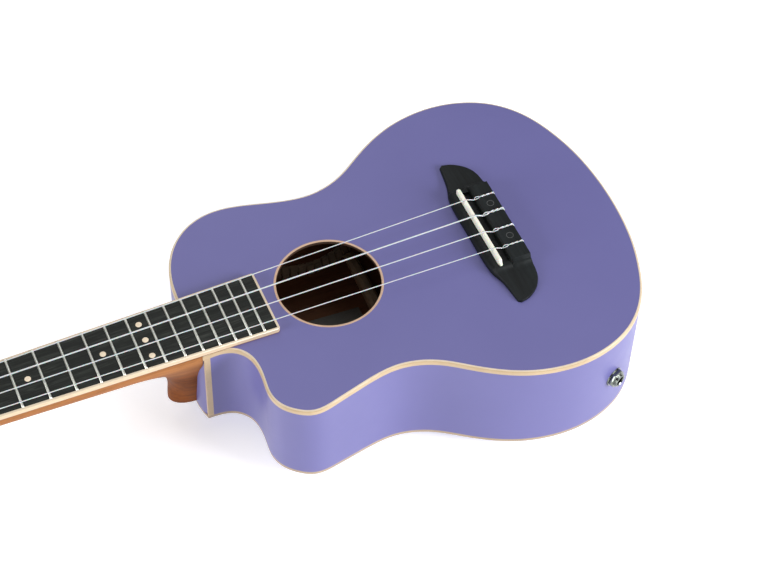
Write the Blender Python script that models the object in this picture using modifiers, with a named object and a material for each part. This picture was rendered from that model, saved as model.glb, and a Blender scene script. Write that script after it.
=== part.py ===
"""Left-handed tenor ukulele with a cutaway, an arched back and an end jack.

Lengths are millimetres in the constants and metres in the meshes. The working frame has
X = 0 at the theoretical end of the strings' scale (the saddle), +X towards the tail,
+Y towards the low-string (bass) side, and Z = 0 on the soundboard. The empty "ukulele"
carries that frame to the part's own origin, the middle of the base of its bounding box.
"""

import math

import bmesh
import bpy
import numpy as np
from mathutils import Matrix, Vector

MM = 0.001
GAP = 0.3  # between pieces that touch in the real instrument

# Where the working frame's zero sits in the part's frame.
SADDLE_AT = (234.25, 1.14, 84.3)

# Strings and scale
SCALE = 430.0
FRETS = 18
SADDLE_SPREAD = 42.8  # outer strings, at the saddle
NUT_SPREAD = 28.0
STRING_RADII = {"a": 0.35, "e": 0.42, "c": 0.49, "g": 0.38}  # treble side first

# Body outline: natural cubic splines through these points, bass half first. BOUT's
# widths are from the body's middle line, which runs a little to the treble side.
BODY_MIDDLE = -1.1
BOUT = [
    (95.9, 0.0), (94.8, 21.9), (91.5, 42.8), (86.6, 59.9), (79.8, 76.3), (70.3, 90.6),
    (56.6, 102.6), (40.6, 110.0), (23.5, 113.4), (4.9, 112.9), (-13.1, 108.7),
    (-31.0, 100.5), (-46.4, 90.5), (-59.6, 81.5), (-72.7, 75.8), (-85.6, 73.6),
    (-98.7, 74.7), (-113.7, 78.2), (-129.7, 82.4), (-145.7, 84.4),
]
SHOULDER = [(-161.4, 80.3), (-175.4, 71.4), (-186.6, 55.7), (-192.1, 36.9), (-193.0, 23.0)]
CUTAWAY = [
    (-193.0, -23.2), (-188.8, -22.9), (-181.0, -22.8), (-173.9, -24.9), (-167.4, -31.7),
    (-164.9, -42.1), (-165.4, -53.1), (-165.9, -63.1), (-162.8, -73.0), (-155.5, -80.7),
]
NECK_END = -193.0
OUTLINE_TURN = 9.0  # degrees per segment
OUTLINE_STEP = 17.0

# Body depth: an arched back, deepest under the bridge and shallower at the neck
DEPTH = 84.4
ARCH_X = 13.5
ARCH_LONG = 1372.0  # radius of the arch along the body, and across it
ARCH_CROSS = 912.0
NECK_LIFT = 1.4  # extra rise of the back at the neck's end
LIFT_FROM = -105.0
REST_DEPTH = 84.3
REST_CENTRE = (6.0, -1.0)
FACET_RISE = 1.3  # the plate's flat facets stand this far inside the true arch

TOP_THICK = 2.2
BACK_THICK = 2.2
SIDE_THICK = 2.0
BINDING_WIDE = 1.5
BINDING_TALL = 3.5
BACK_BINDING_TALL = 3.2
LINING_IN = 6.8
LINING_TALL = 7.5
STRIP_LONG = 3.9
STRIP_THICK = 1.55

HOLE_X = -100.7
HOLE_Y = 0.4
HOLE_R = 33.0
RING_R = 34.5
RING_THICK = 3.4

# Fretboard and neck
BOARD_END = -142.5
BOARD_TOP = 3.8
BOARD_EDGE = 1.45
HALF_AT_NUT = 17.5
HALF_AT_JOINT = 22.3
JOINT_X = -191.5
FRET_WIDE = 1.4
FRET_HIGH = 1.0
NUT_LONG = 3.7
NUT_TOP = 5.0
HEEL_DEPTH = 64.0

# Headstock
HEAD_TILT = 12.0
HEAD_START = -434.3
HEAD_LONG = 133.0
HEAD_THICK = 12.0

# Bridge
BLOCK_FRONT = 10.5
BLOCK_BACK = 22.8
BLOCK_HALF = 32.0
BLOCK_TOP = 8.0
SADDLE_FRONT = 1.3
SADDLE_THICK = 2.6
SADDLE_HALF = 32.9
SADDLE_TOP = 9.4
HOLE_Z = 5.6
STRING_HOLE_R = 1.2

# Jack on the treble side of the lower bout
JACK_X = 48.5
JACK_DEPTH = 41.5
JACK_NUT_R = 6.6  # over its corners
JACK_R = 4.6
JACK_HOLE_R = 3.2
JACK_TALL = 5.4

# Open-gear tuners, in the headstock's frame: (along, across)
POSTS = {"g": (34.0, -18.0), "a": (34.0, 18.0), "c": (84.0, -20.0), "e": (84.0, 20.0)}
POST_R = 3.0
POST_TALL = 15.0
GEAR_TEETH = 14
GEAR_TIP = 5.45
GEAR_ROOT = 4.5
GEAR_PITCH = 5.0
GEAR_THICK = 2.0
GEAR_MID = -16.5  # height of the gear's middle, measured from the headstock's face
WORM_R = 2.6
WORM_CORE = 1.7
SHAFT_R = 1.4
CENTRES = 7.55
WORM_HALF = 4.2
PLATE_THICK = 1.2

COLOURS = {
    "purple": ((0.195, 0.190, 0.390), 0.42, 0.0),
    "maple": ((0.780, 0.560, 0.330), 0.40, 0.0),
    "mahogany": ((0.300, 0.115, 0.050), 0.45, 0.0),
    "inner wood": ((0.160, 0.070, 0.035), 0.70, 0.0),
    "spruce": ((0.560, 0.420, 0.260), 0.70, 0.0),
    "black wood": ((0.014, 0.014, 0.014), 0.50, 0.0),
    "bone": ((0.850, 0.830, 0.740), 0.30, 0.0),
    "fret metal": ((0.640, 0.640, 0.610), 0.28, 1.0),
    "chrome": ((0.620, 0.620, 0.630), 0.16, 1.0),
    "nylon": ((0.850, 0.870, 0.900), 0.20, 0.0),
    "pickup braid": ((0.450, 0.430, 0.400), 0.45, 1.0),
}


# ---------------------------------------------------------------- scene helpers


def clear_scene():
    for obj in list(bpy.data.objects):
        bpy.data.objects.remove(obj, do_unlink=True)
    for collection in list(bpy.data.collections):
        bpy.data.collections.remove(collection)


def new_collection(name):
    collection = bpy.data.collections.new(name)
    bpy.context.scene.collection.children.link(collection)
    return collection


def material(name):
    made = bpy.data.materials.get(name)
    if made:
        return made
    colour, roughness, metallic = COLOURS[name]
    made = bpy.data.materials.new(name)
    made.use_nodes = True
    shader = made.node_tree.nodes["Principled BSDF"]
    shader.inputs["Base Color"].default_value = (*colour, 1.0)
    shader.inputs["Roughness"].default_value = roughness
    shader.inputs["Metallic"].default_value = metallic
    return made


def empty(name, matrix, parent=None):
    made = bpy.data.objects.new(name, None)
    made.empty_display_size = 0.02
    parts.objects.link(made)
    made.parent = parent
    made.matrix_local = matrix
    return made


def add(name, mesh, slot, parent=None, place=None, smooth=35.0):
    """A visible sub-part, under the body's empty unless another parent is given."""
    made = bpy.data.objects.new(name, mesh)
    made.data.materials.append(material(slot))
    if isinstance(mesh, bpy.types.Mesh):
        mesh.shade_smooth()
        mesh.set_sharp_from_angle(angle=math.radians(smooth))
    parts.objects.link(made)
    made.parent = parent or body
    if place is not None:
        made.matrix_local = place
    return made


def cutter(name, mesh, parent=None, place=None):
    made = bpy.data.objects.new(name, mesh)
    made.hide_render = True
    made.display_type = "WIRE"
    cutters.objects.link(made)
    made.parent = parent or body
    if place is not None:
        made.matrix_local = place
    return made


def boolean(obj, other, operation):
    modifier = obj.modifiers.new(other.name, "BOOLEAN")
    modifier.operation = operation
    modifier.object = other


def finish(work, name):
    bmesh.ops.recalc_face_normals(work, faces=work.faces[:])
    mesh = bpy.data.meshes.new(name)
    work.to_mesh(mesh)
    work.free()
    return mesh


def box_mesh(name, *boxes):
    """One mesh holding a box for each (low corner, high corner)."""
    work = bmesh.new()
    for low, high in boxes:
        low, high = Vector(low) * MM, Vector(high) * MM
        place = Matrix.Translation((low + high) / 2) @ Matrix.Diagonal((*(high - low), 1.0))
        bmesh.ops.create_cube(work, size=1.0, matrix=place)
    return finish(work, name)


def bevel(obj, width, segments=1, angle=40.0):
    modifier = obj.modifiers.new("bevel", "BEVEL")
    modifier.width = width * MM
    modifier.segments = segments
    modifier.limit_method = "ANGLE"
    modifier.angle_limit = math.radians(angle)


def cylinder_mesh(name, radius, places, sides=24):
    """One mesh holding a cylinder for each (start, end)."""
    work = bmesh.new()
    for start, end in places:
        start, end = Vector(start) * MM, Vector(end) * MM
        run = end - start
        place = Matrix.Translation((start + end) / 2)
        place = place @ run.to_track_quat("Z", "X").to_matrix().to_4x4()
        bmesh.ops.create_cone(
            work, cap_ends=True, segments=sides, radius1=radius * MM, radius2=radius * MM,
            depth=run.length, matrix=place,
        )
    return finish(work, name)


def slab_curve(name, loops, low, high):
    """A flat plate between two heights: a filled 2D curve with an extrusion."""
    curve = bpy.data.curves.new(name, "CURVE")
    curve.dimensions = "2D"
    curve.fill_mode = "BOTH"
    curve.extrude = (high - low) / 2 * MM
    for loop in loops:
        spline = curve.splines.new("POLY")
        spline.points.add(len(loop) - 1)
        for point, (x, y) in zip(spline.points, loop):
            point.co = (x * MM, y * MM, 0.0, 1.0)
        spline.use_cyclic_u = True
    return curve, Matrix.Translation((0, 0, (low + high) / 2 * MM))


def slab_mesh(name, loops, low, high):
    """The same plate as a mesh, for pieces that are cut or bevelled."""
    curve, place = slab_curve(name, loops, low, high)
    guide = bpy.data.objects.new(name + "_guide", curve)
    cutters.objects.link(guide)
    bpy.context.view_layer.update()
    graph = bpy.context.evaluated_depsgraph_get()
    mesh = bpy.data.meshes.new_from_object(guide.evaluated_get(graph))
    bpy.data.objects.remove(guide, do_unlink=True)
    work = bmesh.new()
    work.from_mesh(mesh)
    bmesh.ops.remove_doubles(work, verts=work.verts[:], dist=1e-6)
    bmesh.ops.dissolve_limit(work, angle_limit=0.01, verts=work.verts[:], edges=work.edges[:])
    bmesh.ops.transform(work, matrix=place, verts=work.verts[:])
    bpy.data.meshes.remove(mesh)
    return finish(work, name)


def circle(x, y, radius, sides):
    turns = [2 * math.pi * i / sides for i in range(sides)]
    return [(x + radius * math.cos(t), y + radius * math.sin(t)) for t in turns]


def turned_mesh(name, profile, sides):
    """A solid of revolution about Z from (radius, height) pairs, top to bottom, by Screw."""
    mesh = bpy.data.meshes.new(name)
    points = [(r * MM, 0.0, z * MM) for r, z in profile]
    mesh.from_pydata(points, [(i, i + 1) for i in range(len(points) - 1)], [])
    guide = bpy.data.objects.new(name + "_guide", mesh)
    cutters.objects.link(guide)
    screw = guide.modifiers.new("turn", "SCREW")
    screw.steps = screw.render_steps = sides
    screw.use_merge_vertices = True
    screw.merge_threshold = 1e-6
    bpy.context.view_layer.update()
    graph = bpy.context.evaluated_depsgraph_get()
    made = bpy.data.meshes.new_from_object(guide.evaluated_get(graph))
    bpy.data.objects.remove(guide, do_unlink=True)
    work = bmesh.new()
    work.from_mesh(made)
    bmesh.ops.remove_doubles(work, verts=work.verts[:], dist=1e-6)
    bpy.data.meshes.remove(made)
    return finish(work, name)


def loft_mesh(name, rings):
    """A closed solid through rings of equal length, with a flat cap at each end."""
    work = bmesh.new()
    made = [[work.verts.new(Vector(p) * MM) for p in ring] for ring in rings]
    count = len(rings[0])
    for low, high in zip(made, made[1:]):
        for i in range(count):
            j = (i + 1) % count
            work.faces.new((low[i], low[j], high[j], high[i]))
    work.faces.new(made[0][::-1])
    work.faces.new(made[-1])
    return finish(work, name)


# ---------------------------------------------------------------- body outline


def natural_spline(points, turn, step):
    """Points along the natural cubic spline through the given ones, which are all kept."""
    points = np.array(points, float)
    chord = np.hypot(*np.diff(points, axis=0).T)
    size = len(points)
    matrix = np.eye(size)
    right = np.zeros((size, 2))
    for i in range(1, size - 1):
        matrix[i, i - 1:i + 2] = chord[i - 1], 2 * (chord[i - 1] + chord[i]), chord[i]
        slope = (points[i + 1] - points[i]) / chord[i]
        right[i] = 6 * (slope - (points[i] - points[i - 1]) / chord[i - 1])
    bend = np.linalg.solve(matrix, right)
    out = [points[0]]
    for i, run in enumerate(chord):
        a, b, m, n = points[i], points[i + 1], bend[i], bend[i + 1]
        rise = (b - a) / run
        first = rise - run * (2 * m + n) / 6
        last = rise + run * (m + 2 * n) / 6
        swing = abs(math.degrees(math.atan2(first[0] * last[1] - first[1] * last[0], first @ last)))
        parts_here = max(1, math.ceil(swing / turn - 0.3), math.ceil(run / step - 0.2))
        for k in range(1, parts_here + 1):
            t = run * k / parts_here
            out.append(a + first * t + m * t * t / 2 + (n - m) * t**3 / (6 * run))
    return [tuple(p) for p in out]


def body_outline():
    """Counter-clockwise from the cutaway's corner: horn, tail, bass side, bass shoulder."""
    treble = [(x, BODY_MIDDLE - y) for x, y in BOUT[:0:-1]]
    bass = [(x, BODY_MIDDLE + y) for x, y in BOUT]
    path = CUTAWAY + treble + bass + SHOULDER
    return natural_spline(path, OUTLINE_TURN, OUTLINE_STEP)


def inset(loop, distance):
    """The closed loop moved inwards by a distance, with mitred corners."""
    points = np.array(loop)
    edge = np.roll(points, -1, axis=0) - points
    edge /= np.hypot(*edge.T)[:, None]
    after = np.stack([-edge[:, 1], edge[:, 0]], axis=1)
    before = np.roll(after, 1, axis=0)
    shared = (after * before).sum(axis=1, keepdims=True)
    return points + distance * (after + before) / (1 + shared)


def flat_top(x, y):
    return 0.0


def arched_back(x, y):
    """Height of the back's outer surface."""
    lift = NECK_LIFT * (max(0.0, LIFT_FROM - x) / (LIFT_FROM - NECK_END)) ** 1.2
    return (x - ARCH_X) ** 2 / (2 * ARCH_LONG) + y * y / (2 * ARCH_CROSS) + lift - DEPTH


def rim_mesh(name, section, base):
    """A ring round the body: section holds (inset, height above base) pairs."""
    work = bmesh.new()
    rows = []
    for distance, height in section:
        row = []
        for x, y in inset(OUTLINE, distance):
            row.append(work.verts.new(Vector((x, y, base(x, y) + height)) * MM))
        rows.append(row)
    count = len(OUTLINE)
    for j, row in enumerate(rows):
        other = rows[(j + 1) % len(rows)]
        for i in range(count):
            k = (i + 1) % count
            work.faces.new((row[i], row[k], other[k], other[i]))
    return finish(work, name)


def wall_mesh(name, outer, inner):
    """A side of the body, from under the top binding to above the back binding."""
    rings = []
    for (x, y), (u, v) in zip(outer, inner):
        top = -BINDING_TALL - GAP
        rise = BACK_BINDING_TALL + GAP
        rings.append([
            (x, y, top), (u, v, top),
            (u, v, arched_back(u, v) + rise), (x, y, arched_back(x, y) + rise),
        ])
    return loft_mesh(name, rings)


def make_sides():
    inner = [tuple(p) for p in inset(OUTLINE, SIDE_THICK)]
    tail = OUTLINE.index(max(OUTLINE))
    seam = GAP / 2
    treble_out = OUTLINE[1:tail] + [(OUTLINE[tail][0], BODY_MIDDLE - seam)]
    treble_in = inner[1:tail] + [(inner[tail][0], BODY_MIDDLE - seam)]
    add("side_treble", wall_mesh("side_treble", treble_out, treble_in), "purple")
    stop = CUTAWAY[0][1] + STRIP_THICK + GAP
    bass_out = [(OUTLINE[tail][0], BODY_MIDDLE + seam)] + OUTLINE[tail + 1:] + [(NECK_END, stop)]
    bass_in = [(inner[tail][0], BODY_MIDDLE + seam)] + inner[tail + 1:] + [(NECK_END + SIDE_THICK, stop)]
    add("side_bass", wall_mesh("side_bass", bass_out, bass_in), "purple")
    x, y = CUTAWAY[0]
    strip = [(x, y), (x + STRIP_LONG, y + 0.25), (x + STRIP_LONG, y + STRIP_THICK), (x, y + STRIP_THICK)]
    top = -BINDING_TALL - GAP
    rise = BACK_BINDING_TALL + GAP
    low = [(u, v, arched_back(u, v) + rise) for u, v in strip]
    mesh = loft_mesh("binding_cutaway", [low, [(u, v, top) for u, v in strip]])
    add("binding_cutaway", mesh, "maple")


def make_bindings():
    wide, tall = BINDING_WIDE, BINDING_TALL
    top = [(wide, 0.0), (0.7, -0.25), (0.15, -0.8), (0.0, -1.6), (0.0, -tall), (wide, -tall)]
    add("binding_top", rim_mesh("binding_top", top, flat_top), "maple")
    tall = BACK_BINDING_TALL
    back = [(wide, 0.0), (0.5, 0.2), (0.0, 0.9), (0.0, tall), (wide, tall)]
    add("binding_back", rim_mesh("binding_back", back, arched_back), "maple")


def make_linings():
    near, far = SIDE_THICK + GAP, LINING_IN
    low, high = TOP_THICK + 2 * GAP, TOP_THICK + GAP + LINING_TALL
    top = [(near, -low), (near, -high), (far, -low - 2.5), (far, -low)]
    add("lining_top", rim_mesh("lining_top", top, flat_top), "inner wood")
    back = [(near, low), (near, high), (far, low + 2.5), (far, low)]
    add("lining_back", rim_mesh("lining_back", back, arched_back), "inner wood")


def make_soundboard():
    edge = [tuple(p) for p in inset(OUTLINE, BINDING_WIDE + GAP)]
    hole = circle(HOLE_X, HOLE_Y, RING_R + GAP, 48)
    curve, place = slab_curve("soundboard", [edge, hole], -TOP_THICK, 0.0)
    add("soundboard", curve, "purple", place=place)
    loops = [circle(HOLE_X, HOLE_Y, RING_R, 48), circle(HOLE_X, HOLE_Y, HOLE_R, 48)]
    curve, place = slab_curve("soundhole_ring", loops, -RING_THICK, 0.0)
    add("soundhole_ring", curve, "maple", place=place)


def make_back():
    """An arched plate: rings of the outline shrunk about a flat patch that it rests on."""
    edge = np.array(inset(OUTLINE, BINDING_WIDE + GAP))
    centre = np.array(REST_CENTRE)
    rings = [centre + (edge - centre) * share for share in (0.14, 0.58, 1.0)]
    work = bmesh.new()
    sheets = []
    for lift in (0.0, BACK_THICK):
        rows = []
        for number, ring in enumerate(rings):
            row = []
            for x, y in ring:
                z = -REST_DEPTH if number == 0 else arched_back(x, y)
                row.append(work.verts.new(Vector((x, y, z + lift)) * MM))
            rows.append(row)
        for low, high in zip(rows, rows[1:]):
            for i in range(len(low)):
                j = (i + 1) % len(low)
                work.faces.new((low[i], low[j], high[j], high[i]))
        work.faces.new(rows[0])
        sheets.append(rows[-1])
    count = len(sheets[0])
    for i in range(count):
        j = (i + 1) % count
        work.faces.new((sheets[0][i], sheets[0][j], sheets[1][j], sheets[1][i]))
    add("back_plate", finish(work, "back_plate"), "purple")


def back_bar(name, x, half, wide, tall):
    """A transverse brace that follows the arch of the back."""
    rings = []
    for k in range(9):
        y = half * (k / 4 - 1)
        fall = tall * (1 - 0.6 * abs(k / 4 - 1) ** 3)
        z = arched_back(x, y) + BACK_THICK + GAP
        foot = z + FACET_RISE
        rings.append([
            (x - wide / 2, y, foot), (x + wide / 2, y, foot), (x + wide / 2, y, z + fall * 0.7),
            (x + wide / 5, y, z + fall), (x - wide / 5, y, z + fall), (x - wide / 2, y, z + fall * 0.7),
        ])
    add(name, loft_mesh(name, rings), "spruce")


def top_bar(name, x, half, wide, tall):
    z = -TOP_THICK - GAP
    rings = []
    for y, share in ((-half, 0.3), (-half * 0.7, 1.0), (half * 0.7, 1.0), (half, 0.3)):
        drop = z - tall * share
        rings.append([
            (x - wide / 2, y, z), (x + wide / 2, y, z), (x + wide / 2, y, drop + 1.5 * share),
            (x, y, drop), (x - wide / 2, y, drop + 1.5 * share),
        ])
    add(name, loft_mesh(name, rings), "spruce")


def make_inner_wood():
    back_bar("back_brace_upper", -146.0, 70.0, 8.0, 11.0)
    back_bar("back_brace_lower", -57.0, 71.0, 8.0, 11.0)
    top_bar("top_brace_upper", -148.0, 72.0, 7.0, 9.0)
    top_bar("top_brace_lower", -57.0, 72.0, 7.0, 9.0)
    low = TOP_THICK + GAP
    plate = box_mesh("bridge_plate", ((-10.0, -52.0, -low - 2.0), (30.0, 52.0, -low)))
    add("bridge_plate", plate, "spruce")
    top = -low - LINING_TALL - GAP
    rise = low + LINING_TALL + GAP
    for name, x1, x2, half in (
        ("neck_block", NECK_END + SIDE_THICK + GAP, -168.0, 19.5),
        ("tail_block", 82.0, 92.2, 18.0),
    ):
        corners = [(x1, -half), (x2, -half), (x2, half), (x1, half)]
        base = max(arched_back(x, y) for x, y in corners) + rise
        add(name, box_mesh(name, ((x1, -half, base), (x2, half, top))), "mahogany")


# ---------------------------------------------------------------- neck and fretboard


def half_width(x):
    return HALF_AT_NUT + (x + SCALE) * (HALF_AT_JOINT - HALF_AT_NUT) / (JOINT_X + SCALE)


def fret_x(number):
    return -SCALE / 2 ** (number / 12)


def shaft_ring(x, top, deep, half, count=12):
    ring = []
    for k in range(count + 1):
        t = math.pi * k / count
        ring.append((x, half * math.cos(t), top - 1.2 - (deep - 1.2) * math.sin(t) ** 0.85))
    return [(x, half, top)] + ring + [(x, -half, top)]


def make_neck():
    shaft = [
        (NECK_END - GAP, 0.0, 19.0), (-225.0, 0.0, 17.5), (-300.0, 0.0, 15.6),
        (-400.0, 0.0, 14.0), (-424.0, 0.0, 14.2), (-434.3, 0.0, 15.6),
        (-446.0, -2.6, 14.0), (-456.0, -4.8, 10.5),
    ]
    rings = [shaft_ring(x, top, deep, half_width(max(x, -SCALE))) for x, top, deep in shaft]
    neck = add("neck", loft_mesh("neck", rings), "mahogany")
    heel = []
    for z, half, reach in (
        (-HEEL_DEPTH, 9.2, 18.6), (-58.0, 10.0, 18.2), (-50.0, 11.4, 17.8), (-44.0, 12.5, 19.0),
        (-38.0, 13.4, 23.0), (-32.0, 14.2, 28.0), (-26.0, 15.8, 34.5), (-20.0, 17.8, 43.0),
        (-12.0, 20.2, 57.0), (-6.0, 20.0, 60.0),
    ):
        ring = []
        for k in range(13):
            t = math.pi * (k / 12 - 0.5)
            x = NECK_END - GAP - reach * math.cos(t) ** 0.8
            ring.append((x, half * math.sin(t), z))
        heel.append(ring)
    boolean(neck, cutter("heel", loft_mesh("heel", heel)), "UNION")
    half = [
        (0.0, 17.6), (8.0, 18.2), (16.0, 23.0), (25.0, 29.5), (38.0, 31.6), (60.0, 32.2),
        (90.0, 33.6), (112.0, 35.4), (124.0, 34.6), (130.5, 25.0), (HEAD_LONG, 10.0),
    ]
    edge = natural_spline(half, 14.0, 40.0)
    outline = edge + [(u, -v) for u, v in edge[::-1]]
    head = cutter("headstock", slab_mesh("headstock", [outline], -HEAD_THICK, 0.0), head_frame)
    boolean(neck, head, "UNION")
    low, high = -HEAD_THICK - 5.0, 5.0
    holes = cylinder_mesh("post_holes", POST_R + 0.5, [((u, v, low), (u, v, high)) for u, v in POSTS.values()], 20)
    boolean(neck, cutter("post_holes", holes, head_frame), "DIFFERENCE")


def make_fretboard():
    inner = BOARD_EDGE + GAP
    near, far = -SCALE, BOARD_END - BOARD_EDGE - GAP
    loop = [
        (near, half_width(near) - inner), (near, -half_width(near) + inner),
        (far, -half_width(far) + inner), (far, half_width(far) - inner),
    ]
    board = add("fretboard", slab_mesh("fretboard", [loop], GAP, BOARD_TOP), "black wood")
    slots = []
    reach = HALF_AT_JOINT + 5.0
    side = FRET_WIDE / 2 + GAP
    for number in range(1, FRETS + 1):
        x = fret_x(number)
        slots.append(((x - side, -reach, BOARD_TOP - 0.8), (x + side, reach, BOARD_TOP + 1.0)))
    boolean(board, cutter("fret_slots", box_mesh("fret_slots", *slots)), "DIFFERENCE")
    end = BOARD_END
    strip = [
        (near, half_width(near)), (end, half_width(end)), (end, -half_width(end)),
        (near, -half_width(near)), (near, -half_width(near) + BOARD_EDGE),
        (end - BOARD_EDGE, -half_width(end - BOARD_EDGE) + BOARD_EDGE),
        (end - BOARD_EDGE, half_width(end - BOARD_EDGE) - BOARD_EDGE),
        (near, half_width(near) - BOARD_EDGE),
    ]
    curve, place = slab_curve("fretboard_binding", [strip], GAP, BOARD_TOP)
    add("fretboard_binding", curve, "maple", place=place)
    for number in range(1, FRETS + 1):
        x = fret_x(number)
        half = half_width(x) - inner
        section = [(-0.7, -0.5), (0.7, -0.5), (0.7, 0.25), (0.38, 0.82), (0.0, FRET_HIGH),
                   (-0.38, 0.82), (-0.7, 0.25)]
        rings = [[(x + a, y, BOARD_TOP + b) for a, b in section] for y in (-half, half)]
        name = f"fret_{number:02d}"
        add(name, loft_mesh(name, rings), "fret metal")


def make_nut():
    x = -SCALE - GAP
    half = HALF_AT_NUT
    rings = []
    for y in (-half, half):
        rings.append([
            (x - NUT_LONG, y, GAP), (x, y, GAP), (x, y, NUT_TOP), (x - 1.6, y, NUT_TOP - 0.1),
            (x - NUT_LONG, y, NUT_TOP - 1.4),
        ])
    add("nut", loft_mesh("nut", rings), "bone")


# ---------------------------------------------------------------- bridge


def make_bridge():
    """Pointed wings, a raised bed round the saddle and a tie block behind a deep slot."""
    half = [
        (-4.4, 0.0), (-4.3, 26.0), (-3.4, 33.0), (-1.0, 40.0), (0.8, 49.0), (2.2, 59.6),
        (4.6, 60.0), (13.0, 57.2), (18.0, 53.4), (21.3, 48.4), (23.0, 42.0), (23.2, 30.0),
        (23.2, 0.0),
    ]
    front, back = half[:6], half[6:]
    loop = front + back + [(x, -y) for x, y in half[-2:0:-1]]
    mesh = slab_mesh("bridge", [loop], GAP, 3.6)
    for vertex in mesh.vertices:
        if vertex.co.z > 0.002:
            out = max(0.0, abs(vertex.co.y) / MM - 34.0) / 26.0
            vertex.co.z -= 1.7 * out * MM
    bridge = add("bridge", mesh, "black wood")
    bevel(bridge, 0.5, 1, 60.0)
    bed = []
    ends = BLOCK_HALF
    for y, high, block in (
        (-ends - 6.0, 3.3, 3.2), (-ends - 2.6, 5.6, 4.9), (-ends - 1.4, 5.6, 5.0), (-ends, 5.6, BLOCK_TOP),
        (ends, 5.6, BLOCK_TOP), (ends + 1.4, 5.6, 5.0), (ends + 2.6, 5.6, 4.9), (ends + 6.0, 3.3, 3.2),
    ):
        bed.append([
            (-4.1, y, 0.8), (BLOCK_BACK, y, 0.8), (BLOCK_BACK, y, block - 0.5),
            (BLOCK_BACK - 0.5, y, block), (BLOCK_FRONT + 0.6, y, block), (BLOCK_FRONT, y, block - 0.6),
            (BLOCK_FRONT - 0.6, y, high - 0.8), (-1.6, y, high), (-3.7, y, high - 1.6),
        ])
    boolean(bridge, cutter("bridge_bed", loft_mesh("bridge_bed", bed)), "UNION")
    front, back = SADDLE_FRONT - GAP, SADDLE_FRONT + SADDLE_THICK + GAP
    long = SADDLE_HALF + GAP
    slots = box_mesh(
        "bridge_slots",
        ((front, -long, 0.7), (back + 0.4, long, 12.0)),
    )
    boolean(bridge, cutter("saddle_slot", slots), "DIFFERENCE")
    ramp = box_mesh("string_ramp", ((back + 0.2, -31.0, 2.4), (BLOCK_FRONT, 31.0, 12.0)))
    boolean(bridge, cutter("string_ramp", ramp), "DIFFERENCE")
    runs = [((5.0, y, HOLE_Z), (30.0, y, HOLE_Z)) for y in string_lanes(SADDLE_SPREAD)]
    holes = cylinder_mesh("tie_holes", STRING_HOLE_R, runs, 10)
    boolean(bridge, cutter("tie_holes", holes), "DIFFERENCE")


def make_saddle():
    front = SADDLE_FRONT
    low = 2.7
    rings = []
    for share, drop in ((0.0, 0.9), (0.16, 0.35), (0.5, 0.0), (0.84, 0.35), (1.0, 0.9)):
        x = front + SADDLE_THICK * share
        ends = SADDLE_HALF - (0.9 if share in (0.0, 1.0) else 0.0)
        top = SADDLE_TOP - drop
        side = [(ends, low), (ends, top - 3.0), (ends - 0.9, top - 0.9), (ends - 3.0, top)]
        ring = [(x, y, z) for y, z in side] + [(x, -y, z) for y, z in side[::-1]]
        rings.append(ring)
    add("saddle", loft_mesh("saddle", rings), "bone")
    strip = box_mesh(
        "pickup_strip",
        ((front + 0.3, -31.0, 1.0), (front + SADDLE_THICK - 0.3, 31.0, low - GAP)),
    )
    add("pickup_strip", strip, "pickup braid")


def string_lanes(spread):
    """Positions across the board, treble string first."""
    return [spread * (k / 3 - 0.5) for k in range(4)]


# ---------------------------------------------------------------- jack


def make_jack():
    """The socket's barrel through the treble side, and the hex nut that clamps it."""
    points = np.array([p for p in OUTLINE if p[1] < 0 and -20 < p[0] < 90])
    near = np.argmin(np.abs(points[:, 0] - JACK_X))
    along = points[min(near + 1, len(points) - 1)] - points[max(near - 1, 0)]
    along = Vector((*along, 0.0)).normalized()
    out = Vector((along.y, -along.x, 0.0))
    share = (JACK_X - points[near - 1][0]) / (points[near + 1][0] - points[near - 1][0])
    seat = points[near - 1] + share * (points[near + 1] - points[near - 1])
    bulge = 0.6
    origin = Vector((seat[0], seat[1], 0.0)) + out * bulge - Vector((0, 0, JACK_DEPTH))
    up = Vector((0.0, 0.0, 1.0))
    turn = Matrix((up.cross(out), up, out)).transposed()
    place = Matrix.Translation(origin * MM) @ turn.to_4x4()
    frame = empty("jack_axis", place, body)
    barrel = turned_mesh("jack_barrel", [
        (JACK_HOLE_R, JACK_TALL), (JACK_R, JACK_TALL), (JACK_R, -5.2), (7.2, -5.2), (7.2, -24.0),
        (JACK_HOLE_R, -24.0), (JACK_HOLE_R, JACK_TALL),
    ], 24)
    add("jack_barrel", barrel, "chrome", frame)
    work = bmesh.new()
    bmesh.ops.create_cone(work, cap_ends=True, segments=6, radius1=JACK_NUT_R * MM,
                          radius2=JACK_NUT_R * MM, depth=2.6 * MM,
                          matrix=Matrix.Translation((0, 0, 2.4 * MM)))
    nut = add("jack_nut", finish(work, "jack_nut"), "chrome", frame)
    bevel(nut, 0.3)
    bore = cylinder_mesh("jack_nut_bore", JACK_R + GAP, [((0, 0, -2), (0, 0, 8))], 24)
    boolean(nut, cutter("jack_nut_bore", bore, frame), "DIFFERENCE")
    wall = cylinder_mesh("jack_wall_bore", JACK_R + GAP, [((0, 0, -6), (0, 0, 8))], 24)
    hole = cutter("jack_wall_bore", wall, frame)
    boolean(bpy.data.objects["side_treble"], hole, "DIFFERENCE")


# ---------------------------------------------------------------- tuners and strings


def gear_loop():
    loop = []
    pitch = 2 * math.pi / GEAR_TEETH
    for tooth in range(GEAR_TEETH):
        for share, radius in ((-0.34, GEAR_ROOT), (-0.15, GEAR_TIP), (0.15, GEAR_TIP), (0.34, GEAR_ROOT)):
            angle = pitch * (tooth + share)
            loop.append((radius * math.cos(angle), radius * math.sin(angle)))
    return loop


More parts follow.
